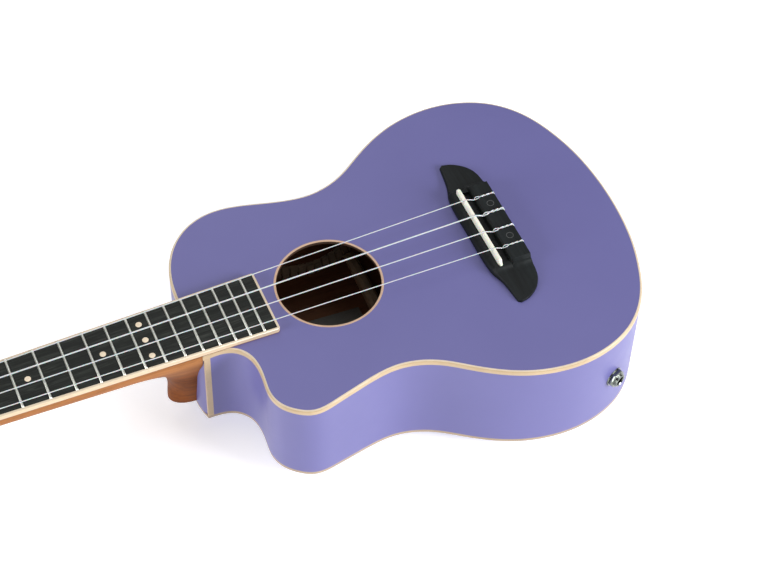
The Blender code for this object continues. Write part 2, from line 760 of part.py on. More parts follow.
def thread_radius(along, turn, start):
    """Radius of the right-hand worm at a place along it and an angle round it."""
    lead = 2 * math.pi * GEAR_PITCH / GEAR_TEETH
    phase = (along / lead - turn / (2 * math.pi) + start) % 1.0
    off = abs(phase - 0.5)
    rise = min(1.0, max(0.0, (0.30 - off) / 0.18))
    return WORM_CORE + (WORM_R - WORM_CORE) * rise


def button_mesh(name, start):
    """Worm, shaft and knob as one turned piece along +Z, the knob flattened to an oval."""
    sides = 10
    rings = []

    def ring(along, radius, flat=1.0):
        made = []
        for k in range(sides):
            t = 2 * math.pi * k / sides
            made.append((radius * math.cos(t), radius * flat * math.sin(t), along))
        rings.append(made)

    ring(-7.4, SHAFT_R)
    ring(-WORM_HALF - 0.1, SHAFT_R)
    steps = 19
    for i in range(steps + 1):
        along = -WORM_HALF + 2 * WORM_HALF * i / steps
        made = []
        for k in range(sides):
            t = 2 * math.pi * k / sides
            radius = thread_radius(along, t, start)
            if i in (0, steps):
                radius = WORM_CORE
            made.append((radius * math.cos(t), radius * math.sin(t), along))
        rings.append(made)
    ring(WORM_HALF + 0.1, SHAFT_R)
    ring(17.5, SHAFT_R)
    ring(18.0, 3.0)
    ring(20.5, 3.0)
    for along, radius in ((21.0, 4.2), (23.5, 6.6), (28.0, 7.8), (33.0, 7.4), (35.6, 5.6), (36.4, 3.0)):
        ring(along, radius, 0.46)
    return loft_mesh(name, rings)


def make_tuners():
    """Four open-gear machines. The worm sits on the nut's side of each post."""
    low = -HEAD_THICK - GAP - PLATE_THICK
    high = low + PLATE_THICK
    for letter, (u, v) in POSTS.items():
        side = 1.0 if v > 0 else -1.0
        # In the post's frame X leaves the headstock's edge, Z leaves its face.
        outward = Vector((0.0, side, 0.0))
        normal = Vector((0.0, 0.0, 1.0))
        turn = Matrix((outward, normal.cross(outward), normal)).transposed().to_4x4()
        at_post = Matrix.Translation(Vector((u, v, 0.0)) * MM) @ turn
        axis = empty(f"post_axis_{letter}", at_post, head_frame)
        worm = side * CENTRES
        near, far = sorted((-side * 6.5, worm + side * 3.2))
        mesh = box_mesh(f"tuner_plate_{letter}", ((-8.0, near, low), (8.0, far, high)))
        plate = add(f"tuner_plate_{letter}", mesh, "chrome", axis)
        lugs = box_mesh(f"lugs_{letter}", *(
            ((x, worm - 2.6, low - 5.8), (x + 1.8, worm + 2.6, low + 0.6)) for x in (-7.0, 5.2)
        ))
        boolean(plate, cutter(f"lugs_{letter}", lugs, axis), "UNION")
        run = ((0.0, 0.0, low - 2.0), (0.0, 0.0, low + 4.0))
        bore = cylinder_mesh(f"plate_bore_{letter}", POST_R + 0.4, [run], 20)
        boolean(plate, cutter(f"plate_bore_{letter}", bore, axis), "DIFFERENCE")
        run = ((-9.0, worm, GEAR_MID), (9.0, worm, GEAR_MID))
        shaft = cylinder_mesh(f"shaft_bore_{letter}", SHAFT_R + 0.2, [run], 16)
        boolean(plate, cutter(f"shaft_bore_{letter}", shaft, axis), "DIFFERENCE")
        make_post(letter, axis)
        # In the button's frame Z runs along the shaft and X away from the nut or towards it.
        along = Matrix(((0, 0, 1, 0), (1, 0, 0, 0), (0, 1, 0, 0), (0, 0, 0, 1)))
        place = Matrix.Translation(Vector((0.0, worm, GEAR_MID)) * MM) @ along
        shaft_axis = empty(f"button_axis_{letter}", place, axis)
        mesh = button_mesh(f"tuner_button_{letter}", 0.0 if side > 0 else 0.5)
        add(f"tuner_button_{letter}", mesh, "chrome", shaft_axis)


def make_post(letter, post_axis):
    """The string post with its toothed wheel, one solid."""
    name = f"tuner_post_{letter}"
    low = GEAR_MID - GEAR_THICK / 2
    profile = [
        (0.0, POST_TALL), (2.4, POST_TALL), (POST_R, POST_TALL - 0.6), (POST_R, 10.6),
        (2.5, 9.8), (2.5, 7.4), (POST_R, 6.6), (POST_R, low - 0.8), (2.0, low - 1.2), (0.0, low - 1.2),
    ]
    post = add(name, turned_mesh(name, profile, 16), "chrome", post_axis)
    wheel = slab_mesh(f"wheel_{letter}", [gear_loop()], low, low + GEAR_THICK)
    boolean(post, cutter(f"wheel_{letter}", wheel, post_axis), "UNION")
    hole = cylinder_mesh(f"string_hole_{letter}", 0.8, [((-6, 0, 8.6), (6, 0, 8.6))], 8)
    boolean(post, cutter(f"string_hole_{letter}", hole, post_axis), "DIFFERENCE")


def make_strings():
    """Each string winds round its post, crosses the nut and the saddle and enters the tie block."""
    to_body = head_matrix
    for letter, at_saddle, at_nut in zip("aecg", string_lanes(SADDLE_SPREAD), string_lanes(NUT_SPREAD)):
        radius = STRING_RADII[letter]
        u, v = POSTS[letter]
        side = 1.0 if v > 0 else -1.0
        wind = POST_R + GAP + radius
        lift = GAP + radius
        nut_back = Vector((-SCALE - GAP - 1.6, at_nut, NUT_TOP - 0.1 + lift + 0.12))
        local_nut = to_body.inverted() @ nut_back
        # The string leaves the inner side of the post for the nut.
        reach = Vector((local_nut.x - u, local_nut.y - v))
        start = math.atan2(reach.y, reach.x) - side * math.acos(wind / reach.length)
        points = []
        turns, steps = 1.6, 16
        for k in range(steps + 1):
            angle = start + side * 2 * math.pi * turns * (k / steps - 1)
            height = 9.6 - 2.6 * (k / steps)
            at = Vector((u + wind * math.cos(angle), v + wind * math.sin(angle), height))
            points.append(to_body @ at)
        points.append(nut_back)
        points.append(Vector((-SCALE - GAP, at_nut, NUT_TOP + lift)))
        points.append(Vector((SADDLE_FRONT, at_saddle, SADDLE_TOP + lift)))
        points.append(Vector((SADDLE_FRONT + SADDLE_THICK + 0.9, at_saddle, SADDLE_TOP + lift - 0.1)))
        points.append(Vector((BLOCK_FRONT - 0.8, at_saddle, HOLE_Z)))
        points.append(Vector((BLOCK_BACK + 0.8, at_saddle, HOLE_Z)))
        curve = bpy.data.curves.new(f"string_{letter}", "CURVE")
        curve.dimensions = "3D"
        curve.bevel_depth = radius * MM
        curve.bevel_resolution = 1
        curve.use_fill_caps = True
        spline = curve.splines.new("POLY")
        spline.points.add(len(points) - 1)
        for point, at in zip(spline.points, points):
            point.co = (*(at * MM), 1.0)
        add(f"string_{letter}", curve, "nylon")


clear_scene()
parts = new_collection("ukulele")
cutters = new_collection("cutters")
body = empty("ukulele", Matrix.Translation(Vector(SADDLE_AT) * MM))
tilt = math.radians(HEAD_TILT)
head_matrix = Matrix.Translation((HEAD_START, 0.0, 0.0)) @ Matrix((
    (-math.cos(tilt), 0.0, -math.sin(tilt), 0.0),
    (0.0, -1.0, 0.0, 0.0),
    (-math.sin(tilt), 0.0, math.cos(tilt), 0.0),
    (0.0, 0.0, 0.0, 1.0),
))
head_place = head_matrix.copy()
head_place.translation = head_matrix.translation * MM
head_frame = empty("headstock_frame", head_place, body)
OUTLINE = body_outline()

make_soundboard()
make_back()
make_sides()
make_bindings()
make_linings()
make_inner_wood()
make_neck()
make_fretboard()
make_nut()
make_bridge()
make_saddle()
make_jack()
make_tuners()
make_strings()
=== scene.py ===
"""How the ukulele looks: smooth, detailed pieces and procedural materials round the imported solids.

Lengths are millimetres in the solids' working frame unless a name says otherwise: X = 0 at the
saddle and +X towards the tail, +Y towards the low string's side, Z = 0 on the soundboard.
"""

import itertools
import math

import bmesh
import bpy
import numpy as np
from mathutils import Euler, Matrix, Vector


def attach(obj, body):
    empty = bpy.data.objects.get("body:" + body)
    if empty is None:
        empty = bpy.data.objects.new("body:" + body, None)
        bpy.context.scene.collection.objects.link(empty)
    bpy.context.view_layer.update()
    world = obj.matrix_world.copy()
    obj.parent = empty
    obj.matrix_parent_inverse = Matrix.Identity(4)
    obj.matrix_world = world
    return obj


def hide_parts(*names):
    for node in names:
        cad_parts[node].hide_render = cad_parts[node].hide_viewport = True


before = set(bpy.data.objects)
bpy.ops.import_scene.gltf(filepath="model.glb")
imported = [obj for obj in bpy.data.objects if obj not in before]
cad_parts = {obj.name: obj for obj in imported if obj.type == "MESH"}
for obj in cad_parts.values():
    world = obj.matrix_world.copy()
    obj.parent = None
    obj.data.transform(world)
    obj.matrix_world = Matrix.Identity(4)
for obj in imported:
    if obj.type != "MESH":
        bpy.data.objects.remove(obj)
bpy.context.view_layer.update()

MM = 0.001
SADDLE_AT = (234.25, 1.14, 84.3)  # the working frame's zero, in the row frame

# ---- dimensions, as in the solids

SCALE = 430.0
FRETS = 18
SADDLE_SPREAD = 42.8
NUT_SPREAD = 28.0
STRING_RADII = {"a": 0.35, "e": 0.42, "c": 0.49, "g": 0.38}
STRING_LOOKS = {"a": 0.31, "e": 0.36, "c": 0.47, "g": 0.31}  # bright strings look thicker

BODY_MIDDLE = -1.1
BOUT = [
    (95.9, 0.0), (94.8, 21.9), (91.5, 42.8), (86.6, 59.9), (79.8, 76.3), (70.3, 90.6),
    (56.6, 102.6), (40.6, 110.0), (23.5, 113.4), (4.9, 112.9), (-13.1, 108.7),
    (-31.0, 100.5), (-46.4, 90.5), (-59.6, 81.5), (-72.7, 75.8), (-85.6, 73.6),
    (-98.7, 74.7), (-113.7, 78.2), (-129.7, 82.4), (-145.7, 84.4),
]
SHOULDER = [(-161.4, 80.3), (-175.4, 71.4), (-186.6, 55.7), (-192.1, 36.9), (-193.0, 23.0)]
CUTAWAY = [
    (-193.0, -23.2), (-188.8, -22.9), (-181.0, -22.8), (-173.9, -24.9), (-167.4, -31.7),
    (-164.9, -42.1), (-165.4, -53.1), (-165.9, -63.1), (-162.8, -73.0), (-155.5, -80.7),
]
SWELL = [(-194.6, 16.0), (-195.8, 8.0), (-196.0, -4.0), (-195.6, -12.0), (-194.6, -18.0)]  # at the heel
NECK_END = -193.0
DEPTH = 84.4
ARCH_X = 13.5
ARCH_LONG = 1372.0
ARCH_CROSS = 912.0
NECK_LIFT = 1.4
LIFT_FROM = -105.0
REST_DEPTH = 84.3
FLARE = 1.6
LEAN = 0.6  # of the cutaway's strip, over its height
DOME = 0.5  # how far the soundboard falls from its middle to its edge

TOP_THICK = 2.2
BACK_THICK = 2.2
SIDE_THICK = 2.0
BINDING_WIDE = 1.5
BINDING_TALL = 3.5
BACK_BINDING_TALL = 3.2
STRIP_LONG = 3.9
STRIP_THICK = 1.55
LINING_NEAR = 2.05
LINING_FAR = 6.8
LINING_TALL = 7.5
KERF_PITCH = 5.4
KERF_GAP = 1.1

HOLE_X = -100.7
HOLE_Y = 0.4
HOLE_R = 33.0
RING_R = 34.5

BOARD_END = -142.5
BOARD_TOP = 3.8
BOARD_EDGE = 1.45
HALF_AT_NUT = 17.5
HALF_AT_JOINT = 22.3
JOINT_X = -191.5
FRET_WIDE = 1.6
FRET_HIGH = 1.0
NUT_LONG = 3.7
NUT_TOP = 5.0
NUT_X = -SCALE - 0.3
HEEL_DEPTH = 64.0

HEAD_TILT = 12.0
HEAD_START = -434.3
HEAD_LONG = 133.0
HEAD_THICK = 12.0
VENEER = 1.0

BLOCK_FRONT = 10.5
BLOCK_BACK = 22.8
BLOCK_TOP = 8.0
SADDLE_FRONT = 1.3
SADDLE_THICK = 2.6
SADDLE_HALF = 32.9
SADDLE_TOP = 9.4
HOLE_Z = 5.6

JACK_X = 48.5
JACK_DEPTH = 41.5
JACK_NUT_R = 6.6
JACK_R = 4.6
JACK_HOLE_R = 3.2
JACK_TALL = 5.4

POSTS = {"g": (34.0, -18.0), "a": (34.0, 18.0), "c": (84.0, -20.0), "e": (84.0, 20.0)}
POST_R = 3.0
POST_TALL = 15.0
GEAR_TEETH = 14
GEAR_TIP = 5.45
GEAR_ROOT = 4.5
GEAR_PITCH = 5.0
GEAR_THICK = 2.0
GEAR_MID = -16.5
WORM_R = 2.6
WORM_CORE = 1.7
SHAFT_R = 1.4
CENTRES = 7.55
WORM_HALF = 4.2
PLATE_THICK = 1.2

CAMERA_AT = (-382.12, -681.34, 958.83)
CAMERA_TURN = (0.6567, -0.0194, -0.4105)
CAMERA_LENS = 91.42

ROW = Matrix.Translation(Vector(SADDLE_AT) * MM)
tilt = math.radians(HEAD_TILT)
HEAD = Matrix.Translation((HEAD_START, 0.0, 0.0)) @ Matrix((
    (-math.cos(tilt), 0.0, -math.sin(tilt), 0.0),
    (0.0, -1.0, 0.0, 0.0),
    (-math.sin(tilt), 0.0, math.cos(tilt), 0.0),
    (0.0, 0.0, 0.0, 1.0),
))


# ---- materials


class Nodes:
    """Short names for the nodes that the materials share."""

    def __init__(self, name):
        self.material = bpy.data.materials.new(name)
        self.material.use_nodes = True
        self.tree = self.material.node_tree
        self.shader = self.tree.nodes["Principled BSDF"]
        self.where = self.tree.nodes.new("ShaderNodeTexCoord").outputs["Object"]

    def link(self, value, socket):
        if isinstance(value, bpy.types.NodeSocket):
            self.tree.links.new(value, socket)
        else:
            socket.default_value = value

    def node(self, kind, output, **inputs):
        """One output of a new node whose named inputs are linked or set."""
        node = self.tree.nodes.new("ShaderNode" + kind)
        for name, value in inputs.items():
            self.link(value, node.inputs[name.replace("_", " ")])
        return node.outputs[output]

    def stretched(self, scale, turn=(0.0, 0.0, 0.0)):
        return self.node("Mapping", "Vector", Vector=self.where, Rotation=turn, Scale=scale)

    def noise(self, vector, scale, detail=3.0, rough=0.5, bend=0.0):
        return self.node("TexNoise", "Fac", Vector=vector, Scale=scale, Detail=detail,
                         Roughness=rough, Distortion=bend)

    def wave(self, vector, scale, bend):
        output = self.node("TexWave", "Fac", Vector=vector, Scale=scale, Distortion=bend, Detail=2.0)
        output.node.bands_direction = "Y"
        return output

    def ramp(self, value, *stops):
        """Colours or grey levels against a value: (place, colour) pairs."""
        node = self.tree.nodes.new("ShaderNodeValToRGB")
        self.link(value, node.inputs["Fac"])
        points = node.color_ramp.elements
        while len(points) < len(stops):
            points.new(0.5)
        for point, (at, colour) in zip(points, stops):
            point.position = at
            point.color = (*colour, 1.0) if isinstance(colour, tuple) else (colour,) * 3 + (1.0,)
        return node.outputs["Color"]

    def mix(self, share, a, b):
        node = self.tree.nodes.new("ShaderNodeMix")
        node.data_type = "RGBA"
        self.link(share, node.inputs[0])
        for colour, socket in ((a, node.inputs[6]), (b, node.inputs[7])):
            self.link((*colour, 1.0) if isinstance(colour, tuple) else colour, socket)
        return node.outputs[2]

    def level(self, value, low, high, first=0.0, last=1.0):
        """A value from first to last, spread over another range."""
        return self.node("MapRange", "Result", Value=value, From_Min=first, From_Max=last,
                         To_Min=low, To_Max=high)

    def bump(self, height, strength, distance_mm):
        normal = self.node("Bump", "Normal", Strength=strength, Distance=distance_mm * MM,
                           Height=height)
        self.link(normal, self.shader.inputs["Normal"])

    def done(self, **values):
        for name, value in values.items():
            socket = self.shader.inputs[name.replace("_", " ")]
            self.link((*value, 1.0) if isinstance(value, tuple) else value, socket)
        return self.material


def lacquer():
    """Satin purple: nearly even, with the faintest cloud and a fine spray texture."""
    n = Nodes("purple_lacquer")
    cloud = n.noise(n.where, 14.0, 4.0)
    colour = n.ramp(cloud, (0.3, (0.127, 0.121, 0.322)), (0.7, (0.135, 0.129, 0.338)))
    spray = n.noise(n.where, 1500.0, 2.0)
    pores = n.noise(n.stretched((60.0, 900.0, 900.0)), 1.0, 3.0)
    n.bump(n.mix(0.5, spray, pores), 0.05, 0.05)
    rough = n.level(n.noise(n.where, 90.0, 3.0), 0.36, 0.44)
    return n.done(Base_Color=colour, Roughness=rough, Specular_IOR_Level=0.42, Coat_Weight=0.10,
                  Coat_Roughness=0.25)


def pale_wood(name, dark, light, rough=0.32):
    """Maple binding under lacquer: fine flecks and slow changes of tone."""
    n = Nodes(name)
    slow = n.noise(n.where, 60.0, 4.0)
    fleck = n.noise(n.stretched((300.0, 300.0, 900.0)), 1.0, 5.0, 0.6)
    colour = n.ramp(n.mix(0.45, slow, fleck), (0.3, dark), (0.7, light))
    n.bump(fleck, 0.06, 0.05)
    return n.done(Base_Color=colour, Roughness=rough, Coat_Weight=0.25, Coat_Roughness=0.12)


def grained(name, axis, dark, light, rough, scale=1.0, depth=0.15, painted_shade_low=None, shine=0.5):
    """A wood with fibres along one axis, growth lines and open pores; its optional darker colour pair is
    painted low down, as painted shade.
    """
    n = Nodes(name)

    def along(long, short):
        return n.stretched([scale * (long if k == axis else short) for k in "XYZ"])

    fibres = n.noise(along(14.0, 380.0), 1.0, 5.0, 0.6)
    bands = n.noise(along(4.0, 55.0), 1.0, 4.0, 0.5, 0.6)
    pore = n.noise(along(70.0, 1500.0), 1.0, 2.0)
    streak = n.ramp(pore, (0.30, 0.0), (0.42, 1.0))
    tone = n.mix(0.5, fibres, bands)
    colour = n.ramp(tone, (0.32, dark), (0.68, light))
    if painted_shade_low:
        # Painted shade: the colours darken towards the bottom of the piece, standing in for the shade on
        # the heel.
        height = n.node("SeparateXYZ", "Z", Vector=n.where)
        shade = n.ramp(n.level(height, 0.0, 1.0, -0.030, -0.006), (0.0, 1.0), (1.0, 0.0))
        colour = n.mix(shade, colour, n.ramp(tone, (0.32, painted_shade_low[0]), (0.68, painted_shade_low[1])))
    colour = n.mix(n.level(streak, 0.35, 0.0), colour, tuple(0.45 * c for c in dark))
    n.bump(n.mix(0.5, streak, fibres), depth, 0.12)
    return n.done(Base_Color=colour, Roughness=n.level(fibres, rough - 0.06, rough + 0.08),
                  Specular_IOR_Level=shine)


def fingerboard():
    """Near black wood with fine wavy lines along the strings."""
    n = Nodes("fingerboard_wood")
    lines = n.noise(n.stretched((26.0, 420.0, 420.0)), 1.0, 5.0, 0.62, 0.9)
    fine = n.noise(n.stretched((90.0, 1700.0, 1700.0)), 1.0, 3.0, 0.6)
    tone = n.mix(0.35, lines, fine)
    colour = n.ramp(tone, (0.36, (0.004, 0.005, 0.004)), (0.50, (0.010, 0.012, 0.010)),
                    (0.66, (0.036, 0.041, 0.035)))
    n.bump(tone, 0.25, 0.1)
    return n.done(Base_Color=colour, Roughness=n.level(tone, 0.42, 0.60), Specular_IOR_Level=0.22)


def bone():
    n = Nodes("bone")
    cloud = n.noise(n.where, 240.0, 4.0)
    colour = n.ramp(cloud, (0.3, (0.82, 0.82, 0.70)), (0.7, (0.90, 0.90, 0.79)))
    n.bump(n.noise(n.stretched((900.0, 120.0, 900.0)), 1.0, 3.0), 0.06, 0.05)
    return n.done(Base_Color=colour, Roughness=0.30, Subsurface_Weight=0.15,
                  Subsurface_Scale=0.001, Coat_Weight=0.2)


def metal(name, colour, rough, streak=0.05):
    """A plated or drawn metal with faint polishing marks."""
    n = Nodes(name)
    marks = n.noise(n.stretched((250.0, 2600.0, 2600.0)), 1.0, 3.0, 0.6)
    finish = n.level(marks, rough - streak, rough + streak)
    n.bump(marks, 0.04, 0.02)
    cloud = n.level(n.noise(n.where, 180.0, 3.0), 0.0, 0.12)
    shade = n.mix(cloud, colour, tuple(0.8 * c for c in colour))
    return n.done(Base_Color=shade, Metallic=1.0, Roughness=finish)


def nylon():
    n = Nodes("clear_nylon")
    cloud = n.noise(n.where, 500.0, 3.0)
    colour = n.ramp(cloud, (0.3, (0.56, 0.60, 0.62)), (0.7, (0.64, 0.67, 0.69)))
    return n.done(Base_Color=colour, Roughness=0.22, Subsurface_Weight=0.35,
                  Subsurface_Scale=0.0006, Coat_Weight=0.3, Specular_IOR_Level=0.6)


def plastic(name, colour, rough):
    n = Nodes(name)
    n.bump(n.noise(n.where, 2200.0, 2.0), 0.06, 0.03)
    finish = n.level(n.noise(n.where, 120.0, 3.0), rough - 0.05, rough + 0.05)
    return n.done(Base_Color=colour, Roughness=finish)


def paper():
    n = Nodes("blank_label")
    fibre = n.noise(n.where, 900.0, 4.0, 0.6)
    colour = n.ramp(fibre, (0.3, (0.230, 0.230, 0.215)), (0.7, (0.280, 0.280, 0.265)))
    n.bump(fibre, 0.1, 0.05)
    return n.done(Base_Color=colour, Roughness=0.8)


def braid():
    n = Nodes("woven_sleeve")
    over, under = (
        n.wave(n.stretched((1.0, 1.0, 1.0), (0.0, 0.0, turn)), 900.0, 0.5) for turn in (0.8, -0.8)
    )
    n.bump(n.mix(0.5, over, under), 0.6, 0.1)
    return n.done(Base_Color=(0.45, 0.43, 0.40), Metallic=1.0, Roughness=0.4)


LOOKS = {
    "lacquer": lacquer(),
    "binding": pale_wood("binding_maple", (0.46, 0.330, 0.190), (0.56, 0.415, 0.250)),
    # A lighter copy of the binding maple for upward faces: a painted highlight.
    "edge": pale_wood("binding_painted_highlight", (0.60, 0.49, 0.35), (0.70, 0.585, 0.43)),
    # A darker copy of the binding maple for the back's edge: painted shade.
    "back_binding": pale_wood("back_binding_maple_painted_shade", (0.34, 0.245, 0.155), (0.44, 0.325, 0.210)),
    "board_binding": pale_wood("board_binding_maple", (0.60, 0.455, 0.30), (0.70, 0.55, 0.37)),
    "seam": pale_wood("seam_veneer", (0.20, 0.085, 0.035), (0.28, 0.125, 0.055), 0.5),
    "ring": pale_wood("ring_wood", (0.52, 0.33, 0.21), (0.64, 0.43, 0.29), 0.4),
    "dot": pale_wood("dot_wood", (0.84, 0.69, 0.50), (0.94, 0.79, 0.60), 0.4),
    # The neck's darker colour pair is painted shade, low down on the heel.
    "neck": grained("neck_wood", "X", (0.260, 0.098, 0.030), (0.435, 0.180, 0.060), 0.48,
                    painted_shade_low=((0.095, 0.024, 0.004), (0.29, 0.080, 0.012)), shine=0.10),
    "inside": grained("inside_wood", "X", (0.220, 0.092, 0.044), (0.360, 0.168, 0.090), 0.75),
    "hole_wall": grained("hole_wall_wood", "X", (0.040, 0.018, 0.010), (0.075, 0.034, 0.018), 0.75),
    "lining": grained("lining_wood", "X", (0.540, 0.440, 0.330), (0.700, 0.590, 0.460), 0.8, 0.6),
    "brace": grained("brace_spruce", "Y", (0.620, 0.500, 0.340), (0.800, 0.670, 0.480), 0.75, 0.6),
    "strut": grained("strut_spruce", "X", (0.30, 0.22, 0.13), (0.42, 0.32, 0.20), 0.75, 0.6),
    "block": grained("block_mahogany", "Z", (0.115, 0.050, 0.026), (0.200, 0.095, 0.052), 0.7),
    "board": fingerboard(),
    "bridge": grained("bridge_wood", "Y", (0.0012, 0.0017, 0.0020), (0.011, 0.015, 0.016), 0.55, 1.2,
                      0.25, shine=0.22),
    "bone": bone(),
    "fret": metal("nickel_silver", (0.84, 0.85, 0.78), 0.40),
    "chrome": metal("bright_chrome", (0.60, 0.60, 0.61), 0.10, 0.03),
    "jack_metal": metal("dark_nickel", (0.20, 0.22, 0.20), 0.17, 0.04),
    "nylon": nylon(),
    "socket": plastic("socket_plastic", (0.006, 0.006, 0.007), 0.5),
    "plug": plastic("plug_edge", (0.085, 0.088, 0.090), 0.5),
    "label": paper(),
    "braid": braid(),
}


# ---- mesh helpers


def solid(name, points, faces):
    mesh = bpy.data.meshes.new(name)
    mesh.from_pydata((np.asarray(points, float) * MM).tolist(), [], [tuple(f) for f in faces])
    return clean(mesh)


def clean(mesh):
    work = bmesh.new()
    work.from_mesh(mesh)
    bmesh.ops.remove_doubles(work, verts=work.verts[:], dist=2e-7)
    bmesh.ops.recalc_face_normals(work, faces=work.faces[:])
    work.to_mesh(mesh)
    work.free()
    return mesh


def grid(name, rows, around=True, along=False):
    """Quads through rows of points. around closes each row, along joins the last to the first."""
    rows = np.asarray(rows, float)
    count, length = rows.shape[:2]
    faces = []
    for j in range(count if along else count - 1):
        k = (j + 1) % count
        for i in range(length if around else length - 1):
            n = (i + 1) % length
            faces.append((j * length + i, j * length + n, k * length + n, k * length + i))
    if around and not along:
        faces.append(range(length - 1, -1, -1))
        faces.append(range((count - 1) * length, count * length))
    return solid(name, rows.reshape(-1, 3), faces)


def box(name, low, high):
    corners = list(itertools.product(*zip(low, high)))
    faces = [(0, 1, 3, 2), (4, 6, 7, 5), (0, 4, 5, 1), (2, 3, 7, 6), (0, 2, 6, 4), (1, 5, 7, 3)]
    return solid(name, corners, faces)


def lathe(name, profile, sides=48, closed=False):
    """Turned about Z from (radius, height) pairs; closed joins the last pair to the first."""
    rows = []
    for k in range(sides):
        t = 2 * math.pi * k / sides
        rows.append([(r * math.cos(t), r * math.sin(t), z) for r, z in profile])
    return grid(name, rows, around=closed, along=True)


def bore(radius, top, bottom, sides=48):
    """A round cutter about Z."""
    return lathe("bore", [(0.0, top), (radius, top), (radius, bottom), (0.0, bottom)], sides)


def tube(name, points, radius, sides=12):
    """A round bar along a line of points, with rounded ends."""
    points = np.asarray(points, float)
    tangent = np.gradient(points, axis=0)
    tangent /= np.linalg.norm(tangent, axis=1)[:, None]
    first, last = points[0], points[-1]
    points = np.vstack([first - tangent[0] * radius * 0.6, first, points[1:-1], last,
                        last + tangent[-1] * radius * 0.6])
    tangent = np.vstack([tangent[0], tangent, tangent[-1]])
    size = np.full(len(points), radius)
    size[0] = size[-1] = radius * 0.5
    side = np.cross(tangent[0], (0.0, 0.0, 1.0) if abs(tangent[0][2]) < 0.9 else (1.0, 0.0, 0.0))
    side /= np.linalg.norm(side)
    turns = np.linspace(0, 2 * math.pi, sides, endpoint=False)
    rows = []
    for point, way, r in zip(points, tangent, size):
        side = side - way * (side @ way)
        side /= np.linalg.norm(side)
        other = np.cross(way, side)
        rows.append(point + r * (np.outer(np.cos(turns), side) + np.outer(np.sin(turns), other)))
    return grid(name, rows)


def joined(name, *meshes):
    work = bmesh.new()
    for mesh in meshes:
        work.from_mesh(mesh)
        bpy.data.meshes.remove(mesh)
    mesh = bpy.data.meshes.new(name)
    work.to_mesh(mesh)
    work.free()
    return mesh


def metres(matrix):
    """A copy of the matrix with its translation turned from millimetres to metres."""
    matrix = matrix.copy()
    matrix.translation = matrix.translation * MM
    return matrix


def moved(mesh, matrix):
    mesh.transform(metres(matrix))
    return mesh


def worked(mesh, *steps):
    """The mesh after steps: ("bevel", width, segments, least angle) or (boolean, other mesh)."""
    obj = placed("work", mesh)
    helpers = []
    for step in steps:
        if step[0] == "bevel":
            modifier = obj.modifiers.new("bevel", "BEVEL")
            modifier.width = step[1] * MM
            modifier.segments = step[2]
            modifier.limit_method = "ANGLE"
            modifier.angle_limit = math.radians(step[3])
            modifier.use_clamp_overlap = True
        else:
            other = placed("cut", step[1])
            helpers.append(other)
            modifier = obj.modifiers.new("boolean", "BOOLEAN")
            modifier.operation = step[0]
            modifier.solver = "EXACT"
            modifier.object = other
    bpy.context.view_layer.update()
    graph = bpy.context.evaluated_depsgraph_get()
    made = bpy.data.meshes.new_from_object(obj.evaluated_get(graph))
    made.name = mesh.name
    for other in [obj] + helpers:
        bpy.data.objects.remove(other, do_unlink=True)
    return made


def plate(name, outline, low, high):
    """A flat plate with a many-sided outline."""
    count = len(outline)
    points = [(x, y, low) for x, y in outline] + [(x, y, high) for x, y in outline]
    faces = [range(count - 1, -1, -1), range(count, 2 * count)]
    for i in range(count):
        j = (i + 1) % count
        faces.append((i, j, count + j, count + i))
    return solid(name, points, faces)


def placed(name, data):
    obj = bpy.data.objects.new(name, data)
    bpy.context.scene.collection.objects.link(obj)
    return obj


def add(name, mesh, look, body="body", replaces=(), place=Matrix.Identity(4), smooth=38.0):
    """A finished piece that rides on a body and stands for the named solids."""
    obj = placed(name, mesh)
    obj.matrix_world = ROW @ metres(place)
    sides = [face.material_index for face in mesh.polygons]
    mesh.materials.clear()
    for entry in [look] if isinstance(look, str) else look:
        mesh.materials.append(LOOKS[entry])
    mesh.polygons.foreach_set("material_index", sides)
    mesh.shade_smooth()
    mesh.set_sharp_from_angle(angle=math.radians(smooth))
    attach(obj, body)
    if replaces:
        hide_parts(*replaces)


def paint_inside(mesh, test, look=1):
    """Faces whose middle (in millimetres) passes the test take another of the piece's looks."""
    for face in mesh.polygons:
        if test(face.center / MM, face.normal):
            face.material_index = look


# ---- body


def natural_spline(points, step):
    """Points along the natural cubic spline through the given ones, about a step apart."""
    points = np.array(points, float)
    chord = np.linalg.norm(np.diff(points, axis=0), axis=1)
    size = len(points)
    matrix = np.eye(size)
    right = np.zeros(points.shape)
    for i in range(1, size - 1):
        matrix[i, i - 1:i + 2] = chord[i - 1], 2 * (chord[i - 1] + chord[i]), chord[i]
        slope = (points[i + 1] - points[i]) / chord[i]
        right[i] = 6 * (slope - (points[i] - points[i - 1]) / chord[i - 1])
    bend = np.linalg.solve(matrix, right)
    out = [points[0]]
    for i, run in enumerate(chord):
        a, b, m, n = points[i], points[i + 1], bend[i], bend[i + 1]
        first = (b - a) / run - run * (2 * m + n) / 6
        pieces = max(1, math.ceil(run / step))
        for k in range(1, pieces + 1):
            t = run * k / pieces
            out.append(a + first * t + m * t * t / 2 + (n - m) * t**3 / (6 * run))
    return np.array(out)


def body_outline():
    treble = [(x, BODY_MIDDLE - y) for x, y in BOUT[:0:-1]]
    bass = [(x, BODY_MIDDLE + y) for x, y in BOUT]
    return np.vstack([natural_spline(CUTAWAY + treble + bass + SHOULDER, 2.2), SWELL])


def inset(loop, distance):
    edge = np.roll(loop, -1, axis=0) - loop
    edge /= np.hypot(*edge.T)[:, None]
    after = np.stack([-edge[:, 1], edge[:, 0]], axis=1)
    before = np.roll(after, 1, axis=0)
    shared = (after * before).sum(axis=1, keepdims=True)
    return loop + distance * (after + before) / (1 + shared)


def crown(x, y):
    """Height of the soundboard: level round the hole and the bridge, falling to the edges."""
    across = np.maximum(0.0, np.abs(y) - 34.0) / 78.0
    along = np.maximum(0.0, np.asarray(x) - 28.0) / 70.0
    return -DOME * np.minimum(1.3, across**2 + along**2)


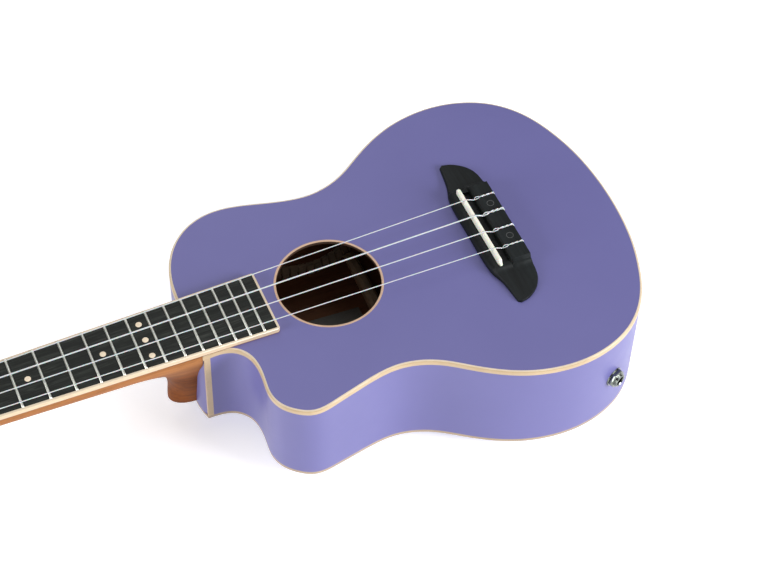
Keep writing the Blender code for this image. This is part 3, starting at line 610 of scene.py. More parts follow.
def under(x, y):
    """Height of the back's outer face."""
    arch = (x - ARCH_X) ** 2 / (2 * ARCH_LONG) + np.square(y) / (2 * ARCH_CROSS) - DEPTH
    lift = NECK_LIFT * (np.maximum(0.0, LIFT_FROM - x) / (LIFT_FROM - NECK_END)) ** 1.2
    return np.maximum(arch + lift, -REST_DEPTH)


def spread(line, share=1.0):
    """The line as it is near the back, where the sides stand out a little at the tail."""
    line = np.array(line, float)
    line[..., 0] += FLARE * share * np.maximum(0.0, line[..., 0] / 96.0) ** 2
    return line


OUTLINE = body_outline()


def rim(name, section, base):
    rows = []
    for distance, height in section:
        loop = inset(OUTLINE, distance)
        rows.append(np.column_stack([spread(loop) if base is under else loop, base(*loop.T) + height]))
    return grid(name, rows, along=True)


def sheet_rows(inner, outer, count, base, lift):
    rows = []
    for k in range(count + 1):
        share = k / count
        ring = inner + (outer - inner) * share
        rows.append(np.column_stack([spread(ring) if base is under else ring, base(*ring.T) + lift]))
    return rows


def make_plates():
    edge = inset(OUTLINE, BINDING_WIDE)
    centre = np.array([HOLE_X, HOLE_Y])
    way = edge - centre
    hole = centre + RING_R * way / np.hypot(*way.T)[:, None]
    top = sheet_rows(hole, edge, 16, crown, 0.0)
    low = sheet_rows(hole, edge, 16, crown, -TOP_THICK)
    board = grid("soundboard", top + low[::-1], along=True)
    paint_inside(board, lambda c, n: n.z < -0.5)
    add("soundboard_shell", board, ["lacquer", "inside"], replaces=["soundboard"])

    middle = np.array([-40.0, 0.0])
    point = middle + (edge - middle) * 0.002  # where the sheet's rings shrink to
    outer = sheet_rows(point, edge, 18, under, 0.0)
    inner = sheet_rows(point, edge, 18, under, BACK_THICK)
    back = grid("back", outer + inner[::-1])
    paint_inside(back, lambda c, n: n.z > 0.5)
    add("back_shell", back, ["lacquer", "inside"], replaces=["back_plate"])


def wall_lines():
    """The side's outer and inner lines, from the cutaway strip round to the strip again."""
    inner = inset(OUTLINE, SIDE_THICK)
    start = next(i for i, p in enumerate(OUTLINE) if p[0] > NECK_END + STRIP_LONG + 0.4)
    a = OUTLINE[start]
    corner = NECK_END + STRIP_LONG
    first = np.array([corner, np.interp(corner, [NECK_END, a[0]], [CUTAWAY[0][1], a[1]])])
    stop = CUTAWAY[0][1] + STRIP_THICK
    outer = np.vstack([first, OUTLINE[start:], (NECK_END, stop)])
    inner = np.vstack([first + (0.0, SIDE_THICK), inner[start:], (NECK_END + SIDE_THICK, stop)])
    return outer, inner


def make_sides():
    outer, inner = wall_lines()
    rings = []
    for number, ((x, y), (u, v)) in enumerate(zip(outer, inner)):
        top, low = crown(x, y) - BINDING_TALL, under(x, y) + BACK_BINDING_TALL
        inner_low = under(u, v) + BACK_THICK
        lean = LEAN if number in (0, len(outer) - 1) else 0.0
        ring = []
        for k in range(7):
            ring.append((*spread((x + lean * k / 6, y), 1 - k / 6), low + (top - low) * k / 6))
        for k in range(4):
            height = top + (inner_low - top) * k / 3
            ring.append((*spread((u + lean * (1 - k / 3), v), k / 3), height))
        rings.append(ring)
    wall = grid("side_walls", rings)
    hole = moved(bore(JACK_R + 0.2, 9.0, -8.0), jack_place())
    wall = worked(wall, ("DIFFERENCE", hole))
    for face in wall.polygons:
        centre = np.array(face.center[:2]) / MM
        near = np.argmin(((outer - centre) ** 2).sum(axis=1))
        gap = inner[near] - outer[near]
        gap /= np.hypot(*gap)
        if (centre - outer[near]) @ gap > SIDE_THICK * 0.6:
            face.material_index = 1
    add("side_shell", wall, ["lacquer", "inside"], replaces=["side_bass", "side_treble"])

    x, y = CUTAWAY[0]
    far = x + STRIP_LONG
    strip = [(x + 0.25, y), (far, y + 0.22), (far, y + STRIP_THICK), (x, y + STRIP_THICK), (x, y + 0.25)]
    rings = []
    for k in range(9):
        ring = []
        for u, v in strip:
            top, low = crown(u, v) - BINDING_TALL, under(u, v) + BACK_BINDING_TALL
            ring.append((u + LEAN * k / 8, v, low + (top - low) * k / 8))
        rings.append(ring)
    add("cutaway_strip", grid("cutaway_strip", rings), "binding", replaces=["binding_cutaway"])


def make_bindings():
    wide, tall = BINDING_WIDE, BINDING_TALL
    top = [(wide, 0.0), (1.15, -0.02), (0.8, -0.12), (0.5, -0.30), (0.25, -0.58), (0.08, -0.95),
           (0.0, -1.45), (0.0, -tall), (wide, -tall)]
    band = rim("top_binding", top, crown)
    # Upward faces of the rounded top edge take the lighter copy of the maple: a painted highlight.
    paint_inside(band, lambda c, n: n.z > 0.85)
    add("top_binding", band, ["binding", "edge"], replaces=["binding_top"])
    tall = BACK_BINDING_TALL
    low = [(wide, 0.0), (0.9, 0.05), (0.5, 0.2), (0.2, 0.5), (0.05, 0.85), (0.0, 1.3), (0.0, tall),
           (wide, tall)]
    band = rim("back_binding", low, under)
    # The back binding takes the darker copy of the maple: painted shade along the underside.
    add("back_binding", band, "back_binding", replaces=["binding_back"])
    inlay = 0.2
    ring = [
        (RING_R, 0.0), (HOLE_R + 0.35, 0.0), (HOLE_R + 0.1, -0.1), (HOLE_R, -0.35), (HOLE_R, -inlay),
        (HOLE_R, -inlay - 0.02), (HOLE_R, -2.0), (HOLE_R + 0.3, -TOP_THICK), (RING_R, -TOP_THICK),
    ]
    place = Matrix.Translation((HOLE_X, HOLE_Y, 0.0))
    ring = lathe("hole_ring", ring, 160, True)
    paint_inside(ring, lambda c, n: c.z < -inlay)
    add("hole_ring", ring, ["ring", "hole_wall"], place=place, replaces=["soundhole_ring"])


def kerfed(name, base, way, start, node):
    """Lining blocks set side by side round the inside, joined by a thin unsawn web."""
    near, far = inset(OUTLINE, LINING_NEAR), inset(OUTLINE, LINING_FAR)
    run = np.concatenate([[0.0], np.cumsum(np.hypot(*np.diff(OUTLINE, axis=0).T))])

    def at(line, s):
        return np.array([np.interp(s, run, line[:, 0]), np.interp(s, run, line[:, 1])])

    blocks = []
    s = 14.0
    while s < run[-len(SWELL) - 1] - 26.0:
        rings = []
        for t in np.linspace(s, s + KERF_PITCH - KERF_GAP, 3):
            a, b = at(near, t), at(far, t)
            c, d = a + (b - a) * 0.86, a + (b - a) * 0.3
            shape = ((a, 0.0), (a, LINING_TALL), (d, LINING_TALL - 0.2), (c, 2.9), (b, 2.0), (b, 0.0))
            ring = [(*point, base(*point) + way * (start + rise)) for point, rise in shape]
            rings.append(ring)
        blocks.append(grid("block", rings))
        s += KERF_PITCH
    section = [(LINING_NEAR, start), (LINING_NEAR, start + LINING_TALL - 0.6),
               (LINING_NEAR + 0.9, start + LINING_TALL - 0.8), (LINING_NEAR + 0.9, start)]
    web = rim("web", [(d, way * h) for d, h in section], base)
    add(name, joined(name, web, *blocks), "lining", replaces=[node])


def make_inside():
    kerfed("kerfed_lining_top", crown, -1.0, TOP_THICK + 0.05, "lining_top")
    kerfed("kerfed_lining_back", under, 1.0, BACK_THICK + 0.05, "lining_back")
    struts = []
    for angle in (-16.0, -8.0, 0.0, 8.0, 16.0):
        swing = math.radians(angle)
        rings = []
        for k in range(13):
            x = -46.0 + 126.0 * k / 12
            y = 0.9 * angle + (x + 46.0) * math.sin(swing)
            tall = 4.6 * min(1.0, 0.28 + 2.2 * min(k, 12 - k) / 12)
            low = 0.75 * tall
            skip = 2.15 if -12.0 < x < 32.0 else 0.0  # over the bridge plate
            ring = []
            for across, drop in ((-2.2, 0.0), (2.2, 0.0), (1.5, -low), (0.0, -tall), (-1.5, -low)):
                v = y + across
                ring.append((x, v, crown(x, v) - TOP_THICK - 0.05 - skip + drop))
            rings.append(ring)
        struts.append(grid("strut", rings))
    add("fan_struts", joined("fan_struts", *struts), "strut")
    rings = []
    for k in range(15):
        x = -124.0 + 57.0 * k / 14
        line = [(x, y, under(x, y) + BACK_THICK + 0.05) for y in np.linspace(-14.0, 30.0, 9)]
        rings.append(line + [(a, b, c + 0.30) for a, b, c in line[::-1]])
    add("blank_label", grid("blank_label", rings), "label")


# ---- neck and fretboard


def half_width(x):
    return HALF_AT_NUT + (x + SCALE) * (HALF_AT_JOINT - HALF_AT_NUT) / (JOINT_X + SCALE)


def fret_x(number):
    return -SCALE / 2 ** (number / 12)


def smooth_min(a, b, reach):
    share = np.clip(0.5 + 0.5 * (b - a) / reach, 0.0, 1.0)
    return b + (a - b) * share - reach * share * (1 - share)


HEEL = natural_spline([  # height, half the width, reach along the neck
    (-HEEL_DEPTH, 9.2, 18.6), (-59.0, 9.9, 18.4), (-54.0, 10.7, 17.9), (-49.0, 11.6, 17.6),
    (-45.0, 12.3, 17.9), (-41.0, 13.0, 18.5), (-36.0, 13.7, 20.2), (-30.0, 14.6, 23.4),
    (-24.0, 16.4, 28.5), (-20.0, 17.8, 34.0), (-16.0, 19.2, 42.0), (-12.0, 20.2, 50.0),
    (-6.0, 20.0, 56.0),
], 0.5)


def neck_field(x, y, z):
    """Negative inside the shaft and its heel, about millimetres near the surface."""
    deep = np.interp(x, [-456.0, -446.0, -434.3, -424.0, -400.0, -300.0, -225.0, NECK_END],
                     [10.5, 14.0, 15.6, 14.2, 14.0, 15.6, 17.5, 19.0])
    top = np.interp(x, [-456.0, -446.0, -434.3], [-4.8, -2.6, 0.0])
    half = half_width(np.maximum(x, -SCALE))
    fall = np.maximum(0.0, top - 1.2 - z) / (deep - 1.2)
    shaft = (np.square(y / half) + fall ** (2 / 0.85) - 1) * 9.0
    wide, reach = (np.interp(z, HEEL[:, 0], HEEL[:, k]) for k in (1, 2))
    back = np.maximum(0.0, NECK_END - x)
    heel = (np.square(y / wide) + (back / reach) ** 2.5 - 1) * 6.0
    both = smooth_min(shaft, heel, 3.0)
    return -smooth_min(-both, HEEL_DEPTH + z, 1.2)


def neck_rows():
    """Sections square to the shaft, then fanned round the hollow under it, then level down the heel."""
    pivot = np.array([-252.0, -56.0])
    xs = np.concatenate([
        np.linspace(-456.0, -430.0, 27)[:-1], np.linspace(-430.0, pivot[0], 46)[:-1],
        np.linspace(pivot[0], NECK_END - 0.05, 42),
    ])
    tops = np.interp(xs, [-456.0, -446.0, -434.3], [-4.8, -2.6, 0.0])
    down = np.concatenate([np.linspace(-1.5, -61.0, 44), np.linspace(-61.3, -HEEL_DEPTH + 0.03, 10)])
    end = np.full(len(down), NECK_END - 0.05)
    starts = np.vstack([np.column_stack([xs, tops]), np.column_stack([end, down])])
    share = np.linspace(-1.0, 1.0, 73)
    turns = math.pi / 2 * (1 + np.sign(share) * np.abs(share) ** 1.3)
    rows = []
    for x, z in starts:
        if x <= pivot[0]:
            way = np.array([0.0, -1.0])
        elif z <= pivot[1]:
            way = np.array([-1.0, 0.0])
        else:
            way = pivot - (x, z)
            way /= np.hypot(*way)
        low, high = np.zeros(len(turns)), np.full(len(turns), 78.0)
        for _ in range(32):
            mid = (low + high) / 2
            deep = mid * np.sin(turns)
            height = np.minimum(z + way[1] * deep, z - 1e-6)
            outside = neck_field(x + way[0] * deep, mid * np.cos(turns), height) > 0
            high, low = np.where(outside, mid, high), np.where(outside, low, mid)
        deep = low * np.sin(turns)
        deep[0] = deep[-1] = 0.0
        rows.append(np.column_stack([x + way[0] * deep, low * np.cos(turns), z + way[1] * deep]))
    return rows


def make_neck():
    shaft = grid("neck_shaft", neck_rows())
    half = [
        (0.0, 17.6), (8.0, 18.2), (16.0, 23.0), (25.0, 29.5), (38.0, 31.6), (60.0, 32.2),
        (90.0, 33.6), (112.0, 35.4), (124.0, 34.6), (130.5, 25.0), (HEAD_LONG, 10.0),
    ]
    edge = natural_spline(half, 1.5)
    edge[:, 0] = np.minimum(edge[:, 0], HEAD_LONG)
    edge[:, 1] = np.minimum(edge[:, 1], 35.4)
    outline = np.vstack([edge, (edge * (1, -1))[::-1]])
    head = plate("headstock", outline, -HEAD_THICK, -VENEER)
    head = worked(head, ("bevel", 1.1, 3, 50.0))
    holes = [moved(bore(POST_R + 0.5, 6.0, -18.0, 32), Matrix.Translation((u, v, 0.0)))
             for u, v in POSTS.values()]
    holes = joined("bores", *holes)
    veneer = plate("head_veneer", outline, -VENEER, 0.0)
    veneer = worked(veneer, ("DIFFERENCE", holes.copy()), ("bevel", 0.35, 2, 50.0))
    add("head_veneer", veneer, "lacquer", place=HEAD)
    neck = worked(shaft, ("UNION", moved(head, HEAD)), ("DIFFERENCE", moved(holes, HEAD)))
    add("neck_carved", neck, "neck", replaces=["neck"])


def make_fretboard():
    near, far = -SCALE, BOARD_END
    xs = np.linspace(near, far - BOARD_EDGE, 60)
    rings = []
    for x in xs:
        half = half_width(x) - BOARD_EDGE
        rings.append([(x, -half, 0.03), (x, half, 0.03), (x, half, BOARD_TOP), (x, -half, BOARD_TOP)])
    add("fingerboard", grid("fingerboard", rings), "board", replaces=["fretboard"])
    line = [(near, half_width(near)), (far - 1.2, half_width(far)), (far, half_width(far) - 1.2)]
    outer = np.array(line + [(x, -y) for x, y in line[::-1]])
    end = far - BOARD_EDGE
    line = [(near, half_width(near) - BOARD_EDGE), (end, half_width(end) - BOARD_EDGE)]
    inner = np.array([line[0], line[1], line[1], *[(x, -y) for x, y in (line[1], line[1], line[0])]])
    rings = []
    for (x, y), (u, v) in zip(outer, inner):
        a = np.array((x - u, y - v))
        lip = np.array((u, v)) + a * (1 - 0.35 / max(1.0, float(np.hypot(*a))))
        rings.append([(x, y, 0.03), (x, y, 0.5), (x, y, BOARD_TOP - 0.35), (*lip, BOARD_TOP),
                      (u, v, BOARD_TOP), (u, v, 0.03)])
    band = grid("fingerboard_binding", rings)
    # The binding's upward faces take the lighter copy of the maple: a painted highlight.
    paint_inside(band, lambda c, n: n.z > 0.5)
    paint_inside(band, lambda c, n: c.z < 0.5, 2)
    add("fingerboard_binding", band, ["board_binding", "edge", "seam"],
        replaces=["fretboard_binding"])
    frets = []
    for number in range(1, FRETS + 1):
        x = fret_x(number)
        half = half_width(x) - 1.2
        rings = []
        for end, share in ((-1, 0.35), (-1, 1.0), (1, 1.0), (1, 0.35)):
            y = end * (half if share < 1 else half - 0.55)
            ring = [(x + FRET_WIDE / 2, y, BOARD_TOP - 0.3)]
            for k in range(9):
                t = math.pi * k / 8
                height = FRET_HIGH * share * math.sin(t) ** 0.8
                ring.append((x + FRET_WIDE / 2 * math.cos(t), y, BOARD_TOP + height))
            ring.append((x - FRET_WIDE / 2, y, BOARD_TOP - 0.3))
            rings.append(ring)
        frets.append(grid("fret", rings))
    names = [f"fret_{number:02d}" for number in range(1, FRETS + 1)]
    add("fret_wires", joined("fret_wires", *frets), "fret", replaces=names)
    dots = []
    for number in (5, 7, 10, 12):
        x = (fret_x(number) + fret_x(number - 1)) / 2
        for y in ((-12.4, 0.1, 12.6) if number == 12 else (0.0,)):
            dot = lathe("dot", [(0.0, 0.03), (1.9, 0.03), (2.0, -0.02), (2.0, -0.9), (0.0, -0.9)], 40)
            dots.append(moved(dot, Matrix.Translation((x, y, BOARD_TOP))))
    add("position_dots", joined("position_dots", *dots), "dot")


def make_nut():
    half = HALF_AT_NUT
    rings = []
    for y in np.linspace(-half, half, 15):
        top = NUT_TOP - 0.4 * max(0.0, (abs(y) - half + 1.5) / 1.5) ** 2
        x = NUT_X
        rings.append([
            (x - NUT_LONG, y, 0.05), (x, y, 0.05), (x, y, top - 0.5), (x - 0.25, y, top - 0.12),
            (x - 0.8, y, top), (x - 1.9, y, top - 0.2), (x - 3.0, y, top - 0.9),
            (x - NUT_LONG, y, top - 1.9),
        ])
    nut = grid("nut", rings)
    cuts = []
    for letter, y in zip("aecg", lanes(NUT_SPREAD)):
        r = STRING_RADII[letter] + 0.06
        z = NUT_TOP + r - 0.25
        line = [(NUT_X - 5.0, y, z - 0.8), (NUT_X - 1.6, y, z), (NUT_X + 2.0, y, z)]
        cuts.append(tube("cut", line, r, 16))
    nut = worked(nut, ("DIFFERENCE", joined("cuts", *cuts)))
    add("string_nut", nut, "bone", replaces=["nut"])


# ---- bridge


def lanes(spread):
    """Positions across the board, treble string first."""
    return [spread * (k / 3 - 0.5) for k in range(4)]


def make_bridge():
    """One loft across the body: thin wings, a raised bed and the tie block behind it."""
    front = natural_spline([
        (-4.4, 0.0), (-4.3, 26.0), (-3.4, 33.0), (-1.0, 40.0), (0.8, 49.0), (2.0, 58.6),
    ], 1.0)
    back = natural_spline([
        (4.6, 60.0), (9.6, 58.8), (13.6, 56.6), (17.8, 53.0), (21.0, 48.2), (22.7, 42.0),
        (23.2, 34.0), (23.2, 0.0),
    ], 0.8)[::-1]
    stations = sorted(set(np.round(np.concatenate([
        back[:, 1], [31.95, 32.0, 32.6, 33.4, 34.6, 36.0, 38.0], np.linspace(0.0, 58.0, 30),
    ]), 3)))
    rings = []
    for y in [-s for s in stations[:0:-1]] + stations:
        out = abs(y)
        left = np.interp(out, front[:, 1], front[:, 0])
        if out > 58.6:
            left = np.interp(out, [58.6, 60.0], [2.0, 3.6])
        right = np.interp(out, back[:, 1], back[:, 0])
        wing = 3.6 - 1.8 * max(0.0, out - 34.0) / 26.0
        bed = np.interp(out, [0.0, 33.2, 34.4, 37.6], [5.6, 5.6, 4.9, wing])
        block = np.interp(out, [0.0, 32.0, 33.2, 34.4, 37.6], [BLOCK_TOP, BLOCK_TOP, 5.2, 4.9, wing])
        share = np.interp(out, [34.4, 38.0], [0.0, 1.0])
        span = right - left
        raised = [
            (left, bed - 2.2), (left + 0.45, bed - 1.5), (-1.4, bed - 0.05), (-0.9, bed),
            (BLOCK_FRONT - 0.8, bed - 0.6), (BLOCK_FRONT - 0.35, block - 0.9),
            (BLOCK_FRONT, block - 0.4), (BLOCK_FRONT + 0.5, block),
            (right - 0.6, block), (right - 0.15, block - 0.15), (right, block - 0.6),
        ]
        edge = min(0.5, wing * 0.25)
        flat = [
            (left, wing - 2 * edge), (left + 0.3 * edge, wing - edge), (left + edge, wing - 0.2 * edge),
            (left + 2 * edge, wing), (left + 0.35 * span, wing), (left + 0.45 * span, wing),
            (left + 0.5 * span, wing), (left + 0.6 * span, wing), (right - 2 * edge, wing),
            (right - 0.8 * edge, wing - 0.3 * edge), (right, wing - 1.4 * edge),
        ]
        foot = float(crown(left, y)) - 0.05
        ring = [(right, y, foot), (left, y, foot)]
        for (a, b), (c, d) in zip(raised, flat):
            ring.append((a + (c - a) * share, y, b + (d - b) * share))
        rings.append(ring)
    bridge = grid("bridge", rings)
    saddle_back = SADDLE_FRONT + SADDLE_THICK
    reach = SADDLE_HALF + 0.15
    slot = box("slot", (SADDLE_FRONT - 0.05, -reach, 0.9), (saddle_back + 0.05, reach, 14.0))
    trench = box("trench", (saddle_back - 0.02, -30.6, 2.4), (BLOCK_FRONT - 0.6, 30.6, 14.0))
    holes = []
    for y in lanes(SADDLE_SPREAD):
        line = [(x, y, HOLE_Z) for x in (BLOCK_FRONT - 3.0, 15.0, BLOCK_BACK + 3.0)]
        holes.append(tube("hole", line, 0.95, 16))
    for cutter in (slot, trench, joined("holes", *holes)):
        bridge = worked(bridge, ("DIFFERENCE", cutter))
    add("tie_bridge", bridge, "bridge", replaces=["bridge"], smooth=32.0)
    rings, plugs = [], []
    for y in (14.3, -14.3):
        at = Matrix.Translation((17.3, y, BLOCK_TOP))
        ring = lathe("ring", [(2.05, 0.04), (2.35, 0.04), (2.35, -0.2), (2.05, -0.2)], 48, True)
        plug = lathe("plug", [(0.0, 0.02), (2.0, 0.02), (2.04, -0.2), (0.0, -0.2)], 48)
        rings.append(moved(ring, at))
        plugs.append(moved(plug, at))
    add("plug_rings", joined("plug_rings", *rings), "plug")
    add("bridge_plugs", joined("bridge_plugs", *plugs), "bridge")


def make_saddle():
    """A bone strip with a round crown; the treble end is cut at a slant."""
    front, thick = SADDLE_FRONT, SADDLE_THICK
    rings = []
    ends = 2.4
    low = 2.72
    ys = np.concatenate([np.linspace(-SADDLE_HALF, -SADDLE_HALF + ends, 7), np.linspace(-29.0, 29.0, 30),
                         np.linspace(SADDLE_HALF - ends, SADDLE_HALF, 9)])
    for y in ys:
        near = max(0.0, -SADDLE_HALF + ends - y) / ends
        far = max(0.0, y - SADDLE_HALF + ends) / ends
        top = SADDLE_TOP - 3.2 * near - 2.0 * (1 - math.sqrt(max(0.0, 1 - far * far)))
        trim = 0.25 + 1.0 * near + 0.9 * far**3
        a, b = front + 0.02 + 0.7 * trim - 0.17, front + thick - 0.02 - 0.35 * trim + 0.09
        mid = (a + b) / 2
        rings.append([
            (a, y, low), (b, y, low), (b, y, top - 0.8), (b - 0.15, y, top - 0.4), (b - 0.5, y, top - 0.12),
            (mid, y, top), (a + 0.5, y, top - 0.12), (a + 0.15, y, top - 0.4), (a, y, top - 0.8),
        ])
    add("bone_saddle", grid("bone_saddle", rings), "bone", replaces=["saddle"])


# ---- strings


def bent(points, step=1.0, soft=2):
    """The polyline resampled and eased round its corners."""
    points = np.asarray(points, float)
    run = np.concatenate([[0.0], np.cumsum(np.linalg.norm(np.diff(points, axis=0), axis=1))])
    where = np.linspace(0.0, run[-1], max(4, int(run[-1] / step)))
    line = np.column_stack([np.interp(where, run, points[:, k]) for k in range(3)])
    for _ in range(soft):
        line[1:-1] = (line[:-2] + 2 * line[1:-1] + line[2:]) / 4
    return line


def knot(y, r):
    """The tail of a string: up behind the block, forward in a twist, round the string and back."""
    top = BLOCK_TOP + r
    paths = []
    for side in (1.0, -1.0):
        line = []
        for k in range(41):
            share = k / 40
            x = BLOCK_BACK - 0.8 - share * (BLOCK_BACK - 0.8 - BLOCK_FRONT - 0.2)
            twist = math.pi * (0.25 + 2.5 * min(1.0, share / 0.72))
            opened = 0.85 * math.sin(math.pi * max(0.0, share - 0.78) / 0.44) ** 0.8
            apart = r * 1.02 * math.cos(twist) * (1 - opened) + opened * 0.95
            rise = r * 1.02 * (1 + math.sin(twist) * side) * (1 - 0.6 * opened)
            line.append((x, y + side * apart, top + rise - r * 0.2))
        paths.append(line)
    first, second = paths
    rear = [(BLOCK_BACK + r + 0.15, y + 0.1, HOLE_Z - 0.2),
            (BLOCK_BACK + r + 0.2, y + 0.3, BLOCK_TOP - 0.8), (BLOCK_BACK + 0.1, y + 0.35, top + 0.1)]
    near = BLOCK_FRONT - 0.7 - r * 0.6
    eye = [(near, y + 0.62, top - 0.35), (BLOCK_FRONT - 1.15 - r, y, BLOCK_TOP - 0.5),
           (near, y - 0.62, top - 0.35)]
    tail = [(BLOCK_BACK + 0.1, y - 0.45, top + 0.1), (BLOCK_BACK + r + 0.3, y - 0.7, BLOCK_TOP - 0.9)]
    return rear + first + eye + second[::-1] + tail


def make_strings():
    for letter, at_saddle, at_nut in zip("aecg", lanes(SADDLE_SPREAD), lanes(NUT_SPREAD)):
        r = STRING_LOOKS[letter]
        u, v = POSTS[letter]
        side = 1.0 if v > 0 else -1.0
        wind = 2.5 + r + 0.04
        nut_back = Vector((NUT_X - 1.4, at_nut, NUT_TOP + r - 0.28))
        local = HEAD.inverted() @ nut_back
        reach = Vector((local.x - u, local.y - v))
        start = math.atan2(reach.y, reach.x) - side * math.acos(wind / reach.length)
        coil = []
        turns = 2.6
        for k in range(105):
            share = k / 104
            angle = start + side * 2 * math.pi * turns * (share - 1)
            height = 9.5 - 2 * r * turns * share
            coil.append(HEAD @ Vector((u + wind * math.cos(angle), v + wind * math.sin(angle), height)))
        run = [coil[-1], nut_back, (NUT_X - 0.6, at_nut, NUT_TOP + r - 0.25)]
        run = bent(run, 1.5, 1)[1:]
        crest = (SADDLE_FRONT + 0.9, at_saddle, SADDLE_TOP + r - 0.04)
        slack = [Vector(run[-1]).lerp(Vector(crest), k / 120) for k in range(1, 120)]
        over = bent([
            crest, (SADDLE_FRONT + SADDLE_THICK - 0.3, at_saddle, SADDLE_TOP + r - 0.12),
            (BLOCK_FRONT - 0.3, at_saddle, BLOCK_TOP - 1.45), (BLOCK_FRONT + 1.8, at_saddle, HOLE_Z),
            (BLOCK_BACK + 0.4, at_saddle, HOLE_Z),
        ], 0.4, 2)
        path = np.vstack([np.array(coil), run, np.array(slack), over])
        body = tube("string", path, r, 14)
        loop = tube("knot", bent(knot(at_saddle, r * 0.86), 0.22, 3), r * 0.86, 12)
        name = f"nylon_{letter}"
        add(name, joined(name, body, loop), "nylon", replaces=[f"string_{letter}"], smooth=60.0)


# ---- jack


def jack_place():
    """Middle of the socket on the side's face, in millimetres, with local Z straight out."""
    line = OUTLINE[(OUTLINE[:, 1] < 0) & (OUTLINE[:, 0] > -20) & (OUTLINE[:, 0] < 92)]
    line = line[np.argsort(line[:, 0])]
    y = np.interp(JACK_X, line[:, 0], line[:, 1])
    out = frame_axis("jack_nut")
    up = Vector((0.0, 0.0, 1.0))
    matrix = Matrix((up.cross(out), up, out)).transposed().to_4x4()
    matrix.translation = Vector((JACK_X, y, -JACK_DEPTH)) + out * 0.1
    return matrix


def frame_axis(node):
    """The direction of a packed nut's bore: the normal shared by its widest flat faces."""
    totals = {}
    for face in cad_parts[node].data.polygons:
        key = tuple(round(abs(c), 3) for c in face.normal)
        area, normal = totals.get(key, (0.0, face.normal.copy()))
        totals[key] = (area + face.area, normal)
    normal = max(totals.values(), key=lambda item: item[0])[1]
    return normal if normal.y < 0 else -normal


def make_jack():
    place = jack_place()
    inside = JACK_R + 0.1
    washer = [(inside, 0.7), (6.3, 0.7), (6.6, 0.5), (6.7, 0.1), (6.7, -0.5), (inside, -0.5)]
    washer = lathe("washer", washer, 64, True)
    add("jack_washer", washer, "jack_metal", place=place)
    turns = [math.pi * k / 3 for k in range(6)]
    hexagon = [(JACK_NUT_R * math.cos(t), JACK_NUT_R * math.sin(t)) for t in turns]
    nut = plate("hex", hexagon, 0.8, 3.7)
    cone = lathe("cone", [(0.0, 3.95), (5.1, 3.95), (7.4, 2.6), (7.4, 0.5), (0.0, 0.5)], 64)
    hole = bore(JACK_R + 0.02, 6.0, -1.0)
    nut = worked(nut, ("INTERSECT", cone), ("DIFFERENCE", hole), ("bevel", 0.12, 2, 35.0))
    add("jack_hex_nut", nut, "jack_metal", place=place, replaces=["jack_nut"], smooth=28.0)
    profile = [(JACK_HOLE_R + 0.5, JACK_TALL), (JACK_R - 0.5, JACK_TALL)]
    pitch = 0.7
    z = JACK_TALL - 0.35
    while z > 0.3:
        root = z - pitch / 2
        profile += [(JACK_R - 0.04, z), (JACK_R - 0.04, z - 0.12), (JACK_R - 0.34, root),
                    (JACK_R - 0.34, root - 0.08)]
        z -= pitch
    profile += [(JACK_R - 0.1, 0.0), (JACK_R - 0.1, -5.2), (7.2, -5.2), (7.2, -24.0),
                (JACK_HOLE_R, -24.0), (JACK_HOLE_R, JACK_TALL - 0.5)]
    add("jack_sleeve", lathe("jack_sleeve", profile, 64, True), "jack_metal", place=place,
        replaces=["jack_barrel"])
    outside, inside = JACK_HOLE_R - 0.03, JACK_HOLE_R - 0.35
    lining = [(outside, 3.6), (inside, 3.2), (inside, -20.0), (0.0, -20.0), (0.0, -21.0),
              (outside, -21.0)]
    add("socket_lining", lathe("lining", lining, 48, True), "socket", place=place)


# ---- tuners


def tuner_frame(letter):
    """At the post's axis: X leaves the headstock's edge and Z its face."""
    u, v = POSTS[letter]
    side = 1.0 if v > 0 else -1.0
    outward, normal = Vector((0.0, side, 0.0)), Vector((0.0, 0.0, 1.0))
    turn = Matrix((outward, normal.cross(outward), normal)).transposed().to_4x4()
    return HEAD @ Matrix.Translation((u, v, 0.0)) @ turn, side


def thread_radius(along, turn, start):
    lead = 2 * math.pi * GEAR_PITCH / GEAR_TEETH
    phase = (along / lead - turn / (2 * math.pi) + start) % 1.0
    rise = min(1.0, max(0.0, (0.30 - abs(phase - 0.5)) / 0.18))
    return WORM_CORE + (WORM_R - WORM_CORE) * rise


def button(start):
    """Worm, shaft, collar and oval knob, turned along +Z."""
    sides = 40
    angles = np.linspace(0.0, 2 * math.pi, sides, endpoint=False)
    rings = []

    def ring(along, radius, flat=1.0):
        rings.append([(radius * math.cos(t), radius * flat * math.sin(t), along) for t in angles])

    for along, radius in ((-7.4, 0.9), (-7.2, SHAFT_R), (-WORM_HALF - 0.1, SHAFT_R)):
        ring(along, radius)
    steps = 96
    for i in range(steps + 1):
        along = -WORM_HALF + 2 * WORM_HALF * i / steps
        fade = min(1.0, 12 * min(i, steps - i) / steps)
        row = []
        for t in angles:
            radius = WORM_CORE + (thread_radius(along, t, start) - WORM_CORE) * fade
            row.append((radius * math.cos(t), radius * math.sin(t), along))
        rings.append(row)
    for along, radius in (
        (WORM_HALF + 0.1, SHAFT_R), (17.4, SHAFT_R), (17.5, 2.2), (17.7, 2.75), (18.1, 3.0),
        (20.2, 3.0), (20.5, 2.8), (20.6, 2.4),
    ):
        ring(along, radius)
    knob = [
        (20.7, 2.6), (21.6, 4.3), (23.6, 6.4), (26.0, 7.5), (29.0, 7.8), (32.6, 7.3), (35.0, 5.8),
        (36.1, 3.6), (36.4, 1.2),
    ]
    for along, radius in natural_spline(knob, 0.6):
        ring(min(along, 36.4), min(radius, 7.8), 0.46 + 0.5 * max(0.0, (22.0 - along) / 1.3 * 0.5))
    return grid("button", rings)


